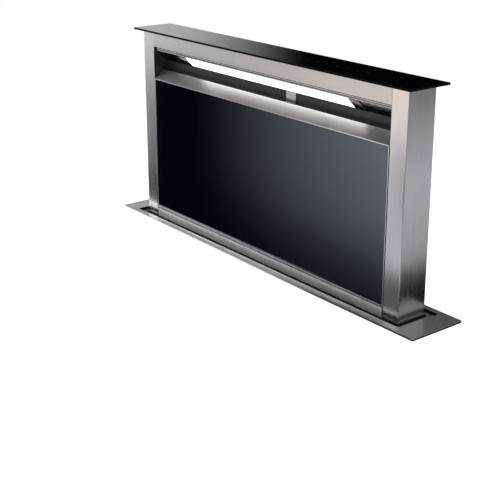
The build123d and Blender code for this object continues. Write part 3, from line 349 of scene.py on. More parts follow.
def soft_dome():
    """World colour by direction: a bright dome less three dark flags, with one bright strip."""
    world = bpy.data.worlds.new("soft_dome")
    bpy.context.scene.world = world
    world.use_nodes = True
    tree = world.node_tree
    tree.nodes.clear()
    place = add_node(tree, "TexCoord").outputs["Generated"]
    height = add_node(tree, "SeparateXYZ", Vector=place).outputs[2]
    level = ordered("VectorMath", place, (1, 1, 0), operation="MULTIPLY")
    heading = ordered("VectorMath", level, operation="NORMALIZE")

    def sector(middle, outer, inner, outside, inside, smooth=False):
        """One level outside a sector and another inside it, by the cosine of the angle."""
        turned = math.radians(middle)
        along = add_node(tree, "VectorMath", operation="DOT_PRODUCT", Vector=heading)
        feed(along.inputs[1], (math.cos(turned), math.sin(turned), 0))
        edges = math.cos(math.radians(outer)), math.cos(math.radians(inner))
        return remap(along.outputs["Value"], *edges, outside, inside, smooth)

    back_flag = sector(*BACK_FLAG, DOME_LEVEL, 0.0, smooth=True)
    side_flag = sector(*SIDE_FLAG, 1.0, 0.0, smooth=True)
    dimmed = plus(times(back_flag, FLAG_GAIN), FLAG_LEVEL)
    banded = mix_colour(remap(height, *FLAG_BAND, smooth=True), back_flag, dimmed)
    banded = times(banded, plus(times(side_flag, 1 - SIDE_LEVEL), SIDE_LEVEL))
    lip_band = remap(height, *LIP_BAND)
    lip_flag = times(sector(*LIP_FLAG, 0.0, 1.0), lip_band)
    banded = times(banded, minus(1.0, times(lip_flag, LIP_DARKNESS)))
    rail_band = times(remap(height, *RAIL_BAND), minus(1.0, lip_band))
    rail_strip = times(times(sector(*RAIL_STRIP, 0.0, 1.0), rail_band), RAIL_LEVEL)
    above = remap(height, *ZENITH_BAND, smooth=True)
    mirrored = maths("MAXIMUM", maths("MAXIMUM", banded, rail_strip), above)
    is_glossy = add_node(tree, "LightPath").outputs["Is Glossy Ray"]
    dome = add_node(tree, "Background", Strength=DOME_STRENGTH,
                    Color=mix_colour(is_glossy, SOFT_GREY, mirrored))
    white = add_node(tree, "Background", Strength=1.0, Color=WHITE)
    shown = mix_shaders(seen_directly(tree), dome.outputs[0], white.outputs[0])
    add_node(tree, "OutputWorld", Surface=shown)


def soft_lamp(name, location, target, size, watts):
    """A square area lamp turned towards a target; it shows in no reflection."""
    data = bpy.data.lights.new(name, "AREA")
    data.energy = watts
    data.size = size
    lamp = bpy.data.objects.new(name, data)
    bpy.context.scene.collection.objects.link(lamp)
    lamp.location = location
    aim = np.array(target) - np.array(location)
    flat = math.hypot(aim[0], aim[1])
    lamp.rotation_euler = (math.atan2(flat, -aim[2]), 0, math.atan2(aim[1], aim[0]) - math.pi / 2)
    lamp.visible_glossy = False


soft_dome()
soft_lamp("key_lamp", (-1.8, -2.2, 2.2), (0, 0, 0), 1.6, 26)
soft_lamp("fill_lamp", (2.4, 1.4, 1.4), (0, 0, -0.1), 1.8, 14)
print("world and lamps set")

# %% [markdown]
# ## Shared effects
# Brushed steel, galvanised sheet, moulded plastic and handled glass each need
# one effect that several materials share, so each effect is a node group. The
# groups give masks and heights; the shader itself stays in the material.

# %% Effect groups


def new_group(name, outputs, scale=None):
    """An empty node group on a Vector and, where one is given, a Scale; all outputs are values."""
    tree = bpy.data.node_groups.new(name, "ShaderNodeTree")
    tree.interface.new_socket("Vector", in_out="INPUT", socket_type="NodeSocketVector")
    if scale:
        socket = tree.interface.new_socket("Scale", in_out="INPUT", socket_type="NodeSocketFloat")
        socket.default_value = scale
    for label in outputs:
        tree.interface.new_socket(label, in_out="OUTPUT", socket_type="NodeSocketFloat")
    return tree, tree.nodes.new("NodeGroupInput").outputs, tree.nodes.new("NodeGroupOutput")


def make_brushed_grain():
    """Streaks: noise on coordinates that the material has stretched along the grain."""
    tree, given, result = new_group("brushed_grain", ("Grain", "Streak"))
    fine = texture("Noise", given[0], Scale=1.0, Detail=4.0, Roughness=0.65)
    wide = texture("Noise", given[0], Scale=0.09, Detail=3.0, Roughness=0.5)
    set_inputs(result, Grain=remap(fine[0], 0.25, 0.75), Streak=remap(wide[0], 0.3, 0.7, smooth=True))
    return tree


def make_handling():
    """Soft uneven patches, as wiping and fingers leave, and rare dust specks."""
    tree, given, result = new_group("handling", ("Smudge", "Dust"), 14.0)
    patch = texture("Noise", given[0], Scale=given[1], Detail=3.0, Roughness=0.55, Distortion=0.6)
    speck = texture("Voronoi", given[0], Scale=420.0)
    smudge = remap(patch[0], 0.42, 0.68, smooth=True)
    dust = remap(speck["Distance"], 0.05, 0.11, 1.0, 0.0)
    set_inputs(result, Smudge=smudge, Dust=times(dust, smudge))
    return tree


def make_spangle():
    """Zinc crystals: Voronoi cells, each with its own tone, and a fine frost inside them."""
    tree, given, result = new_group("spangle", ("Tone", "Frost", "Height"), 170.0)
    warp = texture("Noise", given[0], Scale=35.0, Detail=2.0)
    bent = ordered("VectorMath", warp["Color"], (0.005, 0.005, 0.005), given[0], operation="MULTIPLY_ADD")
    cells = texture("Voronoi", bent, Scale=given[1])
    tone = add_node(tree, "SeparateColor", Color=cells["Color"])
    frost = texture("Noise", given[0], Scale=900.0, Detail=2.0)
    set_inputs(result, Tone=tone.outputs[0], Frost=frost[0], Height=times(cells["Distance"], 0.4))
    return tree


def make_moulded():
    """The spark-eroded texture of a moulding: fine noise as height, with soft flow marks."""
    tree, given, result = new_group("moulded_texture", ("Height", "Flow"), 1500.0)
    pits = texture("Noise", given[0], Scale=given[1], Detail=2.0, Roughness=0.6)
    flow = texture("Noise", given[0], Scale=22.0, Detail=2.0, Distortion=1.2)
    set_inputs(result, Height=pits[0], Flow=remap(flow[0], 0.35, 0.65, smooth=True))
    return tree


groups = {
    "grain": make_brushed_grain(), "handling": make_handling(),
    "spangle": make_spangle(), "moulded": make_moulded(),
}
print("effect groups:", ", ".join(groups))

# %% [markdown]
# ## Brushed steel
# The column is bent from steel that was brushed lengthwise: along X on the
# flange, fascia and rails, along Z on the pillars. The same recipe serves all,
# with the coordinates stretched by a Mapping node along the grain. On the
# door's lip and the lower rail the grain also draws reflections out across it.

# %% Steel recipes
BRUSH_MARKS, TOOL_MARKS = (5.0, 1500.0), (12.0, 900.0)  # scale along and across the grain


def start_material(name):
    """A material with its shader and its Object coordinates."""
    material = bpy.data.materials.new(name)
    material.use_nodes = True
    tree = material.node_tree
    place = add_node(tree, "TexCoord")
    return material, tree.nodes["Principled BSDF"], place.outputs["Object"]


def use_group(key, vector, **values):
    """The outputs of a shared effect placed in a material, with its own values."""
    return add_node(vector.id_data, "Group", node_tree=groups[key], Vector=vector, **values).outputs


def grain_along(vector, axis_name, lengthwise, crosswise):
    """The brushed grain with its coordinates scaled less along one axis than across it."""
    scale = tuple(lengthwise if axis == axis_name else crosswise for axis in "XYZ")
    stretched = add_node(vector.id_data, "Mapping", Vector=vector, Scale=scale)
    return use_group("grain", stretched.outputs[0])


def shade_of(colour, factor, lift=0.0):
    """A colour made darker or lighter by a factor and a lift, held at 1, with its alpha."""
    return tuple(min(1, factor * c + lift) for c in colour) + (1,)


def add_bump(shader, height, distance, strength):
    """Relief from a height, by way of the shader's normal."""
    bump = add_node(height.id_data, "Bump", Strength=strength, Distance=distance, Height=height)
    set_inputs(shader, Normal=bump.outputs[0])


def brushed_steel(name, colour, along, roughness=(0.24, 0.34), depth=0.4, stretched=0.0):
    """Steel brushed along one axis ("X", "Y" or "Z"), roughness from low to high by the grain.

    Stretched, from 0 to 1, draws its reflections out across the grain.
    """
    material, shader, place = start_material(name)
    grain = grain_along(place, along, *BRUSH_MARKS)
    hands = use_group("handling", place, Scale=9.0)
    light = shade_of(colour, 1.06)
    shade = mix_colour(grain["Grain"], shade_of(colour, 0.90), light)
    worn = mix_colour(times(grain["Streak"], 0.35), shade, light)
    rough = remap(grain["Grain"], 0.0, 1.0, *roughness)
    set_inputs(shader, Base_Color=worn, Metallic=1.0,
               Roughness=plus(rough, times(hands["Smudge"], 0.04)))
    if stretched:
        around = add_node(place.id_data, "Tangent", direction_type="RADIAL", axis=along)
        set_inputs(shader, Anisotropic=stretched, Tangent=around.outputs[0])
    add_bump(shader, grain["Grain"], 0.00012, depth)
    return material


STEEL = (0.66, 0.655, 0.655)
steel_x = brushed_steel("steel_brushed_across", STEEL, "X")
steel_z = brushed_steel("steel_brushed_upright", STEEL, "Z", (0.15, 0.26), 0.25)
flange_steel = brushed_steel("flange_steel", (0.68, 0.675, 0.67), "X", (0.20, 0.34), 0.6)
# Darkened far below the column's steel: painted shade for the parts inside the slot.
inner_steel = brushed_steel("inner_steel", (0.30, 0.30, 0.31), "X", (0.30, 0.42), 0.3)
# Darkened far below steel's own tone: painted shade for the lamp carrier's ends beside the lit strip.
carrier_painted_shade = brushed_steel("carrier_painted_shade", (0.20, 0.205, 0.215), "X", (0.12, 0.20), 0.25)
# Lighter than the column's steel: painted light on the door's lip, where the lamp strip shines on it.
door_steel_painted_light = brushed_steel("door_pan_steel_painted_light", (0.74, 0.735, 0.73), "X", (0.26, 0.32), 0.2, 0.65)
# Lighter still than the column's steel: painted light for the bright lower rail.
rail_steel_painted_light = brushed_steel("rail_steel_painted_light", (0.78, 0.775, 0.77), "X", (0.27, 0.35), 0.3, 0.85)
print("steel recipes: 7")

# %% [markdown]
# ## Black glass
# Door and top are toughened glass with black enamel behind it. What is seen is
# the reflection, faint head-on and strong at a grazing angle, broken a little
# by wiping marks. The top also carries a row of small printed key dots. Its
# edge is ground, which is the moulded recipe with almost no gloss.

# %% Glass recipes


def moulded_plastic(name, colour, roughness=0.48, depth=0.35):
    """Moulded plastic: texture pits as relief, flow marks as faint tone and gloss."""
    material, shader, place = start_material(name)
    skin = use_group("moulded", place, Scale=1500.0)
    tone = mix_colour(times(skin["Flow"], 0.6), colour + (1,), shade_of(colour, 1.25, 0.008))
    set_inputs(shader, Base_Color=tone,
               Roughness=remap(skin["Flow"], 0.0, 1.0, roughness - 0.05, roughness + 0.06))
    add_bump(shader, skin["Height"], 0.00015, depth)
    return material


def dot_row(place, first, pitch, count, row, radius):
    """1 on a row of dots: the distance to the nearest middle, with x wrapped by the pitch."""
    split = add_node(place.id_data, "SeparateXYZ", Vector=place)
    x = minus(split.outputs[0], first - pitch / 2)
    dx = minus(maths("WRAP", x, pitch, 0.0), pitch / 2)
    dy = minus(split.outputs[1], row)
    distance = maths("SQRT", plus(times(dx, dx), times(dy, dy)))
    within = times(maths("GREATER_THAN", x, 0.0), maths("LESS_THAN", x, pitch * count))
    return times(remap(distance, radius, radius * 1.25, 1.0, 0.0), within)


def black_glass(name, tint, index, reflection, key_dots=None):
    """Near-black glossy glass, with a printed row of dots where one is given."""
    material, shader, place = start_material(name)
    hands = use_group("handling", place, Scale=7.0)
    base = mix_colour(times(hands["Dust"], 0.10), tint, (0.2, 0.2, 0.21, 1))
    if key_dots:
        mark = times(dot_row(place, *key_dots), 0.16)
        base = mix_colour(mark, base, (0.55, 0.56, 0.58, 1))
    set_inputs(shader, Base_Color=base, IOR=index, Specular_Tint=reflection,
               Roughness=remap(hands["Smudge"], 0.0, 1.0, 0.015, 0.045))
    return material


KEY_DOTS = (0.085, 0.025, 8, -0.004, 0.0013)  # first x, pitch, count, y, radius
DOOR_INDEX, TOP_INDEX, EDGE_INDEX = 1.75, 1.52, 1.12
door_black = black_glass("door_glass_black", (0.0012, 0.0022, 0.004, 1), DOOR_INDEX, (0.80, 0.90, 1.0, 1))
top_black = black_glass("top_glass_black", (0.002, 0.002, 0.0022, 1), TOP_INDEX, WHITE, KEY_DOTS)
glass_edge = moulded_plastic("ground_glass_edge", (0.0015, 0.0015, 0.0016), 0.55, 0.1)
set_inputs(glass_edge.node_tree.nodes["Principled BSDF"], IOR=EDGE_INDEX)
print("glass recipes: 3")

# %% [markdown]
# ## Sheet, mouldings and the rest
# The casing is galvanised: cool grey with faint crystals. Fans, clips and
# switches are moulded plastic with a fine texture. Rubber and foam are rough
# and dark; gears are oiled steel; the bushes are sintered bronze.

# %% Recipes for the inner pieces


def galvanised(name, colour):
    """Zinc-coated sheet: crystal tones in colour and roughness, with slight relief."""
    material, shader, place = start_material(name)
    zinc = use_group("spangle", place, Scale=170.0)
    hands = use_group("handling", place, Scale=5.0)
    dark = shade_of(colour, 0.90)
    tone = mix_colour(zinc["Tone"], dark, shade_of(colour, 1.05))
    rough = remap(zinc["Tone"], 0.0, 1.0, 0.40, 0.48)
    set_inputs(shader, Base_Color=mix_colour(times(hands["Smudge"], 0.25), tone, dark),
               Roughness=plus(rough, times(zinc["Frost"], 0.08)), Metallic=0.85)
    add_bump(shader, zinc["Height"], 0.0001, 0.12)
    return material


def machined_metal(name, colour, roughness, along):
    """Turned or extruded metal with fine tool lines along an axis and an uneven film."""
    material, shader, place = start_material(name)
    lines = grain_along(place, along, *TOOL_MARKS)
    hands = use_group("handling", place, Scale=30.0)
    dark = shade_of(colour, 0.82)
    tone = mix_colour(lines["Grain"], dark, colour + (1,))
    set_inputs(shader, Base_Color=mix_colour(times(hands["Smudge"], 0.3), tone, dark),
               Roughness=remap(lines["Grain"], 0.0, 1.0, roughness - 0.06, roughness + 0.08),
               Metallic=1.0)
    add_bump(shader, lines["Grain"], 0.0001, 0.3)
    return material


def soft_seal(name, colour, cell=0.0, roughness=0.75):
    """Rubber or foam: matt, with a fine skin and, where cell is set, open cells as relief."""
    material, shader, place = start_material(name)
    skin = use_group("moulded", place, Scale=900.0)
    tone = mix_colour(times(skin["Flow"], 0.5), colour + (1,), shade_of(colour, 1.5, 0.003))
    set_inputs(shader, Base_Color=tone, Specular_IOR_Level=0.12,
               Roughness=remap(skin["Flow"], 0.0, 1.0, roughness - 0.06, roughness + 0.1))
    height = skin["Height"]
    if cell:
        height = texture("Voronoi", place, Scale=cell)["Distance"]
    add_bump(shader, height, 0.0004, 0.5)
    return material


def circuit_board(name):
    """Green lacquer with lighter tracks from a brick pattern, and round tinned pads."""
    material, shader, place = start_material(name)
    pads = texture("Voronoi", place, Scale=220.0, Randomness=0.35)
    turned = add_node(place.id_data, "Mapping", Vector=place, Rotation=(math.pi / 2, 0, 0))
    tracks = texture("Brick", turned.outputs[0], Scale=160.0)
    green = mix_colour(tracks["Fac"], (0.012, 0.09, 0.04, 1), (0.03, 0.17, 0.08, 1))
    tin = remap(pads["Distance"], 0.10, 0.16, 1.0, 0.0)
    set_inputs(shader, Base_Color=mix_colour(tin, green, (0.6, 0.6, 0.58, 1)), Metallic=tin,
               Roughness=remap(tin, 0.0, 1.0, 0.35, 0.25))
    return material


def lit_opal(name, strength):
    """Opal plastic lit from behind, a little dimmer where its texture is thick."""
    material, shader, place = start_material(name)
    skin = use_group("moulded", place, Scale=1200.0)
    tone = mix_colour(skin["Flow"], shade_of(WARM_WHITE, 0.9), WARM_WHITE + (1,))
    set_inputs(shader, Base_Color=tone, Emission_Color=tone, Emission_Strength=strength, Roughness=0.4)
    add_bump(shader, skin["Height"], 0.0001, 0.2)
    return material


WARM_WHITE = (1.0, 0.99, 0.97)
finishes = {
    "zinc_sheet": galvanised("galvanised_sheet", (0.60, 0.615, 0.63)),
    "bright_steel": machined_metal("zinc_plated_steel", (0.72, 0.72, 0.71), 0.24, "Y"),
    "aluminium_rail": machined_metal("extruded_aluminium", (0.74, 0.745, 0.75), 0.32, "Z"),
    "filter_aluminium": machined_metal("filter_aluminium", (0.78, 0.785, 0.79), 0.30, "Z"),
    "gear_steel": machined_metal("oiled_gear_steel", (0.33, 0.33, 0.34), 0.28, "Z"),
    "bronze_bush": machined_metal("sintered_bronze", (0.60, 0.43, 0.22), 0.42, "X"),
    "black_plastic": moulded_plastic("black_moulding", (0.022, 0.022, 0.024)),
    "white_plastic": moulded_plastic("white_moulding", (0.80, 0.80, 0.78), 0.35),
    "white_nylon": moulded_plastic("natural_nylon", (0.74, 0.73, 0.68), 0.42),
    "motor_paint": moulded_plastic("motor_paint", (0.03, 0.03, 0.033), 0.34, 0.2),
    "black_baffle": moulded_plastic("black_enamel", (0.025, 0.025, 0.027), 0.38, 0.15),
    "black_rubber": soft_seal("black_rubber", (0.006, 0.006, 0.0065)),
    "grey_foam": soft_seal("grey_foam", (0.12, 0.12, 0.12), cell=900.0, roughness=0.88),
    "circuit_board": circuit_board("circuit_board"),
    "diffuser": lit_opal("lit_opal", 1.55),
    "lamp_glass": lit_opal("lamp_glass", 1.5),
    "inner_steel": inner_steel,
    "black_glass": door_black,
    "brushed_steel": flange_steel,
    "column_steel": steel_x,
}
print("finishes:", len(finishes))

# %% [markdown]
# ## Building pieces from arrays
# A finer piece is a stack of loops of points: each loop runs round the piece,
# and neighbouring points make the faces. A stack that closes on itself is a
# ring and needs no caps; otherwise a face closes its ends.

# %% Grid helpers


def grid_faces(rows, columns, wrap_rows=False, wrap_columns=False):
    """Quads between neighbours of a rows x columns grid, as an array of four indices."""
    row = np.arange(rows if wrap_rows else rows - 1)[:, None]
    column = np.arange(columns if wrap_columns else columns - 1)[None, :]
    next_row, next_column = (row + 1) % rows, (column + 1) % columns
    corners = [row * columns + column, row * columns + next_column,
               next_row * columns + next_column, next_row * columns + column]
    return np.stack([np.broadcast_to(c, (row.size, column.size)) for c in corners], axis=-1).reshape(-1, 4)


def shell(loops, ring=False, capped=True):
    """Points and faces of a stack of loops: a ring joins its last loop to its first.

    Otherwise a face closes the first loop and, where it is capped, the last one too.
    """
    rows, columns = loops.shape[:2]
    faces = grid_faces(rows, columns, ring, True).tolist()
    if not ring:
        faces.insert(0, list(range(columns))[::-1])
        if capped:
            faces.append(list(range((rows - 1) * columns, rows * columns)))
    return loops.reshape(-1, 3), faces


def joined(*parts):
    """Several (points, faces) as one."""
    start, points, faces = 0, [], []
    for part_points, part_faces in parts:
        points.append(np.reshape(part_points, (-1, 3)))
        faces.extend([[int(i) + start for i in face] for face in part_faces])
        start += len(points[-1])
    return np.concatenate(points), faces


def new_piece(name, points, faces, body, slot, material=None, smooth=30):
    """A piece from points in metres: it rides a body and takes the slot's finish or its own.

    Edges up to smooth degrees are shaded smooth, and its normals are turned outwards.
    """
    mesh = bpy.data.meshes.new(name)
    mesh.from_pydata(points.tolist(), [], faces)
    mesh.materials.append(material or finishes[slot])
    piece = bpy.data.objects.new(name, mesh)
    bpy.context.scene.collection.objects.link(piece)
    mesh.shade_smooth()
    mesh.set_sharp_from_angle(angle=math.radians(smooth))
    work = bmesh.new()
    work.from_mesh(mesh)
    bmesh.ops.remove_doubles(work, verts=work.verts, dist=1e-7)
    bmesh.ops.recalc_face_normals(work, faces=work.faces)
    work.to_mesh(mesh)
    work.free()
    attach(piece, body)
    return piece


def rounded_loops(half_a, half_b, radius, profile, steps=7):
    """Loops round a rectangle, one for each (offset, height) of a profile.

    At an offset the half sizes grow by it, and so does the corner radius, held at 0.
    """
    offset, height = np.array(profile, float).T
    turn = np.linspace(0, np.pi / 2, steps)
    angle = (turn[None, :] + np.arange(4)[:, None] * np.pi / 2).ravel()
    sign_a = np.repeat([1, -1, -1, 1], steps)
    sign_b = np.repeat([1, 1, -1, -1], steps)
    bend = np.maximum(radius + offset, 0)[:, None]
    a = sign_a * (half_a + offset[:, None] - bend) + bend * np.cos(angle)
    b = sign_b * (half_b + offset[:, None] - bend) + bend * np.sin(angle)
    return a, b, np.broadcast_to(height[:, None], a.shape)


def level_loops(half_x, half_y, radius, profile):
    """Rounded loops that lie level: x, y and z as one array."""
    return np.stack(rounded_loops(half_x, half_y, radius, profile), axis=-1)


def round_section(centre_y, centre_z, radius, steps):
    """The y and z of a circle's points."""
    turn = np.linspace(0, 2 * np.pi, steps, endpoint=False)
    return centre_y + radius * np.cos(turn), centre_z + radius * np.sin(turn)


print("grid helpers ready")

# %% [markdown]
# ## The glass top
# A slab of toughened glass with a polished face and a ground, dark edge. The
# loops start inside the lower arris, run up the edge and round the upper
# arris; a face closes each end. Only the edge takes the ground finish.

# %% Glass top
slab_low, slab_high = (np.array(corner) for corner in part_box("top_glass"))
ARRIS, SLAB_CORNER = 0.0006, 0.0015
rounds = [(-ARRIS * (1 - math.sin(t)), slab_high[2] - ARRIS * (1 - math.cos(t)))
          for t in np.linspace(math.pi / 2, 0, 5)]
edge = [(-ARRIS, slab_low[2]), (0.0, slab_low[2] + ARRIS), *rounds]
points, faces = shell(level_loops(slab_high[0], slab_high[1], SLAB_CORNER, edge))
glass_top = new_piece("glass_top", points, faces, "column", "black_glass", top_black)
glass_top.data.materials.append(glass_edge)
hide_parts("top_glass")
is_edge = [0, *[1] * (len(faces) - 2), 0]
glass_top.data.polygons.foreach_set("material_index", is_edge)
glass_top.data.polygons.foreach_set("use_smooth", is_edge)
print("glass top:", len(faces), "faces")

# %% [markdown]
# ## Seals in the flange's recess
# A wiper lip lies round the column on the recess floor, and a thin black sheet
# stands along the recess wall, where the glass comes down: painted shade for
# the recess's dark walls. Both show as black lines. They are rings: a small
# closed profile carried round.

# %% Seals
RECESS_FLOOR, COLUMN_CORNER, RECESS_CORNER = -0.001, 0.002, 0.0035
LIP_GAP, LIP_CREST, LIP_WIDTH = 0.00025, 0.00145, 0.0052
LIP_TOP, LIP_EDGE = RECESS_FLOOR + 0.0007, RECESS_FLOOR + 0.0003
lip_profile = [(LIP_GAP, RECESS_FLOOR), (LIP_GAP, LIP_TOP), (LIP_CREST, LIP_TOP), (LIP_WIDTH, LIP_EDGE),
               (LIP_WIDTH, RECESS_FLOOR)]
lip_loops = level_loops(SIDE_FACE, -FRONT_FACE, COLUMN_CORNER, lip_profile)
new_piece("wiper_lip", *shell(lip_loops, ring=True), "casing", "black_rubber")
# A thin black sheet on the recess wall: painted shade, in the black rubber finish.
SHADE_LINING_WALL, SHADE_LINING_FACE, SHADE_LINING_TOP, RECESS_GAP = 0.0009, -0.00003, 0.0035, 0.002
shade_lining_profile = [(-SHADE_LINING_WALL, RECESS_FLOOR), (-SHADE_LINING_WALL, 0.0030), (-0.0004, SHADE_LINING_TOP),
                  (SHADE_LINING_FACE, 0.0034), (SHADE_LINING_FACE, RECESS_FLOOR)]
recess_half = (slab_high[0] + RECESS_GAP, slab_high[1] + RECESS_GAP)
shade_lining_loops = level_loops(*recess_half, RECESS_CORNER, shade_lining_profile)
new_piece("recess_shade_lining", *shell(shade_lining_loops, ring=True), "casing", "black_rubber")
print("seals: wiper lip and recess lining")

# %% [markdown]
# ## Rolled beads
# Under the fascia the lamp carrier shows a narrow rail with two bright rolled
# beads, and a third trims the foot of the door's glass. Each is a small round
# section carried straight along X.

# %% Rail and door beads
BEAD_RADIUS, BEAD_REACH, BEAD_DROP = 0.0006, 0.340, 0.0002
bead_ends = np.array([[-BEAD_REACH], [BEAD_REACH]])
glass_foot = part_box("door_glass")[0][2]
for name, y, z, body in (("rail_bead_upper", -0.0272, 0.3656, "column"),
                         ("rail_bead_lower", -0.0268, 0.3618, "column"),
                         ("door_trim_bead", -0.0315, glass_foot - BEAD_DROP, "door")):
    loops = np.stack(np.broadcast_arrays(bead_ends, *round_section(y, z, BEAD_RADIUS, 9)), axis=-1)
    new_piece(name, *shell(loops), body, "column_steel", smooth=60)
print("beads: 3")

# %% [markdown]
# ## Diffuser clips
# A dark clip holds each end of the opal strip and gives the lit band a clean
# end; its darkness is painted shade. It is a shallow tray upside down: a
# rounded plate with a rolled edge, laid on the 45 degree slope.

# %% Diffuser clips
SLOPE_Y, SLOPE_Z, DIFFUSER_PROUD = -0.016, 0.351, 0.0008
CLIP_MIDDLE, CLIP_HALF, CLIP_HALF_HEIGHT, CLIP_CORNER, CLIP_SHEET = 0.2505, 0.013, 0.0136, 0.001, 0.0009
clip_profile = [(0, DIFFUSER_PROUD - 0.0006), (0, DIFFUSER_PROUD + 0.0006),
                (-0.0004, DIFFUSER_PROUD + CLIP_SHEET), (-0.003, DIFFUSER_PROUD + CLIP_SHEET + 0.0002)]
across, along, proud = rounded_loops(CLIP_HALF, CLIP_HALF_HEIGHT, CLIP_CORNER, clip_profile, 4)
down, out = along / math.sqrt(2), proud / math.sqrt(2)
clips = [shell(np.stack([across + side * CLIP_MIDDLE, SLOPE_Y + down - out, SLOPE_Z - down - out], axis=-1))
         for side in (-1, 1)]
# The clips take the carrier's darkened steel, which is painted shade.
end_clips = new_piece("diffuser_end_clips", *joined(*clips), "column", "bright_steel", carrier_painted_shade)
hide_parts("diffuser_clips")
print("diffuser clips:", len(clips))

# %% [markdown]
# ## Grease filters
# Each filter is a folded aluminium rim round a pack of expanded mesh. Expanded
# metal is slit and pulled, so its strands zigzag and meet at alternate corners.
# One layer runs across, a coarser one behind it runs upright.

# %% Expanded mesh
POINTS_PER_PITCH, SWING_GAIN, STRAND_THICKNESS = 4, 1.35, 0.0010
FINE_MESH = (0.012, 0.0032, 0.0058, 0.0012)  # pitch, spacing, depth, width of a strand
COARSE_MESH = (0.020, 0.0055, 0.0078, 0.0016)


def strands(long_span, short_span, pitch, spacing, depth, width):
    """Zigzag strands along the long span; neighbours meet at alternate corners.

    Strand k lies at k * spacing and swings by half a spacing either way with the
    pitch, out of step with its neighbours. Returns long, short and depth arrays.
    """
    corners = int((long_span[1] - long_span[0]) / pitch * POINTS_PER_PITCH)
    along = np.linspace(*long_span, corners + 1)
    count = int((short_span[1] - short_span[0]) / spacing)
    level = np.linspace(short_span[0] + spacing / 2, short_span[1] - spacing / 2, count)
    phase = 2 * np.pi * (along - along[0]) / pitch
    side = np.where(np.arange(count) % 2, -1.0, 1.0)
    swing = np.clip(SWING_GAIN * np.cos(phase), -1, 1)
    centre = level[:, None] + side[:, None] * swing[None, :] * spacing / 2
    lift = depth + STRAND_THICKNESS * np.sin(phase)[None, :] * side[:, None] * 0.5
    across = np.array([-0.5, 0.5, 0.5, -0.5]) * width
    deep = np.array([-0.5, -0.5, 0.5, 0.5]) * STRAND_THICKNESS
    long = np.broadcast_to(along[None, :, None], (count, along.size, 4))
    return long, centre[:, :, None] + across, lift[:, :, None] + deep


def mesh_layer(order, *how):
    """The strands of a layer as shells; order says which of x, y and z is long, short and deep."""
    measures = dict(zip("lsd", strands(*how)))
    return [shell(strand) for strand in np.stack([measures[key] for key in order], axis=-1)]


print("mesh helpers ready")

# %% Filter cassettes
RIM, FOLD, RIM_SHEET, RIM_CORNER, MESH_LAP = 0.010, 0.0012, 0.0008, 0.0015, 0.004
FILTER_FRONT, FILTER_BACK, LATCH_HALF, GUIDE_LAP, GUIDE_WALL = 0.002, 0.011, 0.0153, 0.004, 0.005
HOOK_BACK, HOOK_FRONT = -0.0011, -0.0025
rim_profile = [
    (-RIM, FILTER_FRONT), (-FOLD, FILTER_FRONT), (-FOLD * 0.3, FILTER_FRONT + FOLD * 0.3),
    (0, FILTER_FRONT + FOLD), (0, FILTER_BACK - FOLD), (-FOLD * 0.3, FILTER_BACK - FOLD * 0.3),
    (-FOLD, FILTER_BACK), (-RIM, FILTER_BACK), (-RIM, FILTER_BACK - RIM_SHEET),
    (-FOLD - RIM_SHEET, FILTER_BACK - RIM_SHEET), (-FOLD - RIM_SHEET, FILTER_FRONT + RIM_SHEET),
    (-RIM, FILTER_FRONT + RIM_SHEET),
]
for side_name in ("left", "right"):
    node = "grease_filter_" + side_name
    low, high = (np.array(corner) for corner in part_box(node))
    middle, half = (low + high) / 2, (high - low) / 2
    across, upward, deep = rounded_loops(half[0], half[2], RIM_CORNER, rim_profile, steps=4)
    rim = np.stack([across + middle[0], deep, upward + middle[2]], axis=-1)
    reach = half - RIM + MESH_LAP
    x_span, z_span = ((middle[n] - reach[n], middle[n] + reach[n]) for n in (0, 2))
    parts = [shell(rim, ring=True), *mesh_layer("lds", x_span, z_span, *FINE_MESH),
             *mesh_layer("sdl", z_span, x_span, *COARSE_MESH)]
    for hand in (-1, 1):
        near, far, lap = (middle[0] + hand * (LATCH_HALF + more) for more in (0, GUIDE_WALL, -GUIDE_LAP))
        outline = [(near, FILTER_FRONT), (near, HOOK_BACK), (lap, HOOK_BACK), (lap, HOOK_FRONT),
                   (far, HOOK_FRONT), (far, FILTER_FRONT)]
        parts.append(shell(np.array([[(x, y, z) for x, y in outline] for z in (high[2] - RIM, high[2])])))
    cassette = new_piece("filter_cassette_" + side_name, *joined(*parts), "column", "filter_aluminium")
    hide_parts(node)
    print(cassette.name, len(cassette.data.polygons), "faces")

# %% [markdown]
# ## Screws with a cross recess
# A pan head is a dome on a square grid that is bent to a circle, so the grid's
# lines can follow the cross. The inner cells of the cross are pushed down, and
# the same head is then placed for every screw in one array.

# %% Casing screws
HEAD_RADIUS, HEAD_HEIGHT, CROSS_DEPTH, SHANK = 0.004, 0.0022, 0.0011, 0.002
CROSS_ARM, CROSS_REACH, HEAD_FALL, STEM = 0.13, 0.60, 0.62, 0.5
marks = np.array([CROSS_ARM, 0.16, CROSS_REACH, 0.62, 1.0])  # of the head's radius, each arm and its wall
grid_u, grid_v = np.meshgrid([*-marks[::-1], *marks], [*-marks[::-1], *marks])
size_u, size_v = abs(grid_u), abs(grid_v)
reach, square_reach = np.hypot(grid_u, grid_v), np.maximum(size_u, size_v)
bend = 1 + (square_reach / reach - 1) * square_reach ** 2
in_cross = (np.minimum(size_u, size_v) <= CROSS_ARM) & (square_reach <= CROSS_REACH)
top = HEAD_HEIGHT * np.sqrt(np.clip(1 - HEAD_FALL * square_reach ** 4, 0, 1)) - CROSS_DEPTH * in_cross
cap = np.stack([grid_u * bend * HEAD_RADIUS, top, grid_v * bend * HEAD_RADIUS], axis=-1).reshape(-1, 3)
index = np.arange(len(cap)).reshape(grid_u.shape)
border = np.concatenate([index[0], index[1:, -1], index[-1, -2::-1], index[-2:0:-1, 0]])
stem = cap[border] * [STEM, 0, STEM]
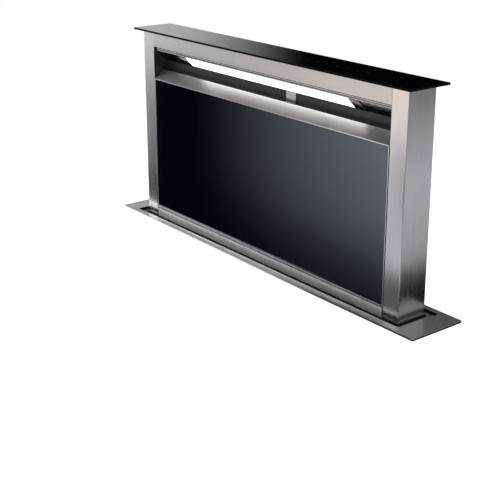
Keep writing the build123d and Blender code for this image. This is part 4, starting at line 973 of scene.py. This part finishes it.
head_points = np.concatenate([cap, cap[border] * [1, 0, 1], stem, stem - [0, SHANK, 0]])
rings = np.concatenate([border, np.arange(len(cap), len(head_points))])
walls = rings[grid_faces(4, len(border), False, True)]
head_faces = [*grid_faces(*index.shape), *walls, rings[-len(border):]]
SIDE_SCREW, PANEL_SCREW, FIRST_SCREW, SCREW_STEP = 0.4025, 0.0515, -0.060, 0.150
BOX_SCREW, BOX_FLANGE, BOX_HEIGHTS = 0.176, -0.053, (-0.650, -0.525, -0.400)
places = [(side * SIDE_SCREW, out * PANEL_SCREW, FIRST_SCREW - SCREW_STEP * n, out)
          for side in (-1, 1) for n in range(5) for out in (-1, 1)]
places += [(side * BOX_SCREW, BOX_FLANGE, z, -1) for side in (-1, 1) for z in BOX_HEIGHTS]
screws = [(head_points * [1, out, 1] + [x, y, z], head_faces) for x, y, z, out in places]
casing_heads = new_piece("cross_head_screws", *joined(*screws), "casing", "bright_steel")
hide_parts("casing_screws")
print("screws:", len(screws))

# %% [markdown]
# ## Beads pressed into the casing
# Thin sheet drums, so the press tool leaves raised beads in it. A bead is a low
# dome on a rounded rectangle whose corner radius is half its width: seen from
# the side it rises as a quarter round from the edge to the middle line. Spot
# welds are the same shape, round and almost flat.

# %% Bead helpers
BEAD_SINK, BEAD_HALF, BEAD_RISE = 0.0003, 0.007, 0.0021


def on_sheet(loops, side, level, middle):
    """Loops laid on a sheet of the casing: its side names the way that it faces."""
    a, b, height = loops
    a, b = a + middle[0], b + middle[1]
    way = {"front": (a, level - height, b), "rear": (a, level + height, b),
           "left": (level - height, a, b), "right": (level + height, a, b), "top": (a, b, level + height)}
    return np.stack(way[side], axis=-1)


def dome(half_a, half_b, *where, rise=BEAD_RISE, steps=6):
    """A low dome: each loop shrinks by r(1 - cos t) and lifts by rise * sin t."""
    radius = min(half_a, half_b)
    turn = np.linspace(0, np.pi / 2, steps)
    profile = [(0, -BEAD_SINK), *zip(-radius * (1 - np.cos(turn)), rise * np.sin(turn))]
    return shell(on_sheet(rounded_loops(half_a, half_b, radius, profile, 5), *where), capped=False)


def frame_bead(half_a, half_b, radius, half_width, *where):
    """A bead carried round a rounded rectangle: width cos t across, rise sin t up."""
    turn = np.linspace(0, np.pi, 9)
    profile = [(half_width, -BEAD_SINK), *zip(half_width * np.cos(turn), BEAD_RISE * np.sin(turn)),
               (-half_width, -BEAD_SINK)]
    return shell(on_sheet(rounded_loops(half_a, half_b, radius, profile, 9), *where), ring=True)


print("bead helpers ready")

# %% Beads of the casing
rear_face, right_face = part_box("casing_rear")[1][1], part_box("casing_side_right")[1][0]
box_low, box_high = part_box("blower_box")
box_y, box_z = (box_low[1] + box_high[1]) / 2, (box_low[2] + box_high[2]) / 2
LID_DROP, WELD_HALF, WELD_RISE = 0.012, 0.0035, 0.0004
LEFT, RIGHT = ("left", -right_face), ("right", right_face)
FRONT, REAR = ("front", -rear_face), ("rear", rear_face)
FRAMES = (  # half sizes, corner radius, half width, sheet, middle
    (0.355, 0.285, 0.045, BEAD_HALF, *REAR, (0, -0.345)),
    (0.062, 0.125, 0.02, 0.005, "right", box_high[0] - LID_DROP, (box_y, box_z)),
    (0.135, 0.062, 0.02, 0.005, "top", box_high[2] - LID_DROP, (0, box_y)),
)
ROWS = (  # half sizes, sheet, middles
    (BEAD_HALF, 0.225, *REAR, [(x, -0.345) for x in (-0.24, -0.08, 0.08, 0.24)]),
    (BEAD_HALF, 0.27, *FRONT, [(x, -0.37) for x in (-0.345, -0.285, -0.225)]),
    (BEAD_HALF, 0.18, *FRONT, [(x, -0.47) for x in (0.225, 0.285, 0.345)]),
    (0.15, BEAD_HALF, *FRONT, [(0, z) for z in (-0.11, -0.17, -0.23, -0.29)]),
    *((BEAD_HALF, 0.25, *sheet, [(y, -0.40) for y in (-0.022, 0.022)]) for sheet in (LEFT, RIGHT)),
)
WELDS = [(x, -0.683) for x in np.arange(-0.37, 0.371, 0.074)]
shells = [frame_bead(*row) for row in FRAMES]
shells += [dome(*row, middle) for *row, middles in ROWS for middle in middles]
shells += [dome(WELD_HALF, WELD_HALF, *sheet, middle, rise=WELD_RISE, steps=3)
           for sheet in (FRONT, REAR) for middle in WELDS]
new_piece("casing_beads", *joined(*shells), "casing", "zinc_sheet", smooth=50)
print("beads and welds:", len(shells))

# %% Ribs of the outlet collar and louvres of the control cover
collar_start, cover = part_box("outlet_collar")[0][0], np.array(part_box("control_cover"))
COLLAR_Y, COLLAR_Z, COLLAR_RADIUS, RIB_RADIUS, LOUVRE_RISE = -0.1355, -0.441, 0.075, 0.0016, 0.0022
RIB_PLACES, LOUVRE_HALVES, LOUVRE_SPAN = (0.006, 0.020, 0.034), (0.035, 0.0032), (0.035, 0.075)
section = np.linspace(0, 2 * np.pi, 12, endpoint=False)[:, None]
ring_y, ring_z = round_section(COLLAR_Y, COLLAR_Z, COLLAR_RADIUS + RIB_RADIUS * np.sin(section), 72)
ribs = []
for along in RIB_PLACES:
    ring_x = collar_start + along + RIB_RADIUS * np.cos(section)
    ribs.append(shell(np.stack(np.broadcast_arrays(ring_x, ring_y, ring_z), axis=-1), ring=True))
new_piece("collar_ribs", *joined(*ribs), "casing", "black_plastic")
cover_x = (cover[0][0] + cover[1][0]) / 2
louvres = [dome(*LOUVRE_HALVES, "front", cover[0][1], (cover_x, z), rise=LOUVRE_RISE)
           for z in np.linspace(*(cover[0][2] + end for end in LOUVRE_SPAN), 5)]
new_piece("cover_louvres", *joined(*louvres), "casing", "zinc_sheet", smooth=50)
print("collar ribs:", len(ribs), "louvres:", len(louvres))

# %% [markdown]
# ## Finishes by slot
# Every solid takes the finish of its slot in the record. A few want their own:
# the upright pillars, the glass, and the sheets round the lamp and the door.
# The lamp carrier and the chamber cheeks are darkened as painted shade; the
# door pan and the lower rail are lightened as painted light.

# %% Give every solid its finish
slot_of = {part["node"]: part["material_slot"] for part in frame["record"]["subparts"]}
own_finish = {
    "pillar_left": steel_z, "pillar_right": steel_z, "column_back": steel_z, "top_glass": top_black,
    "lamp_carrier": carrier_painted_shade, "door_panel": door_steel_painted_light, "lower_panel": rail_steel_painted_light,
    # The cheeks take black enamel as painted shade at the slot's left end.
    "chamber_cheeks": finishes["black_baffle"],
}
for name, solid in nodes.items():
    finish = own_finish.get(name, finishes[slot_of[name]])
    if not solid.data.materials:
        solid.data.materials.append(finish)
    for slot in solid.material_slots:
        slot.material = finish
print("dressed:", len(nodes), "solids")
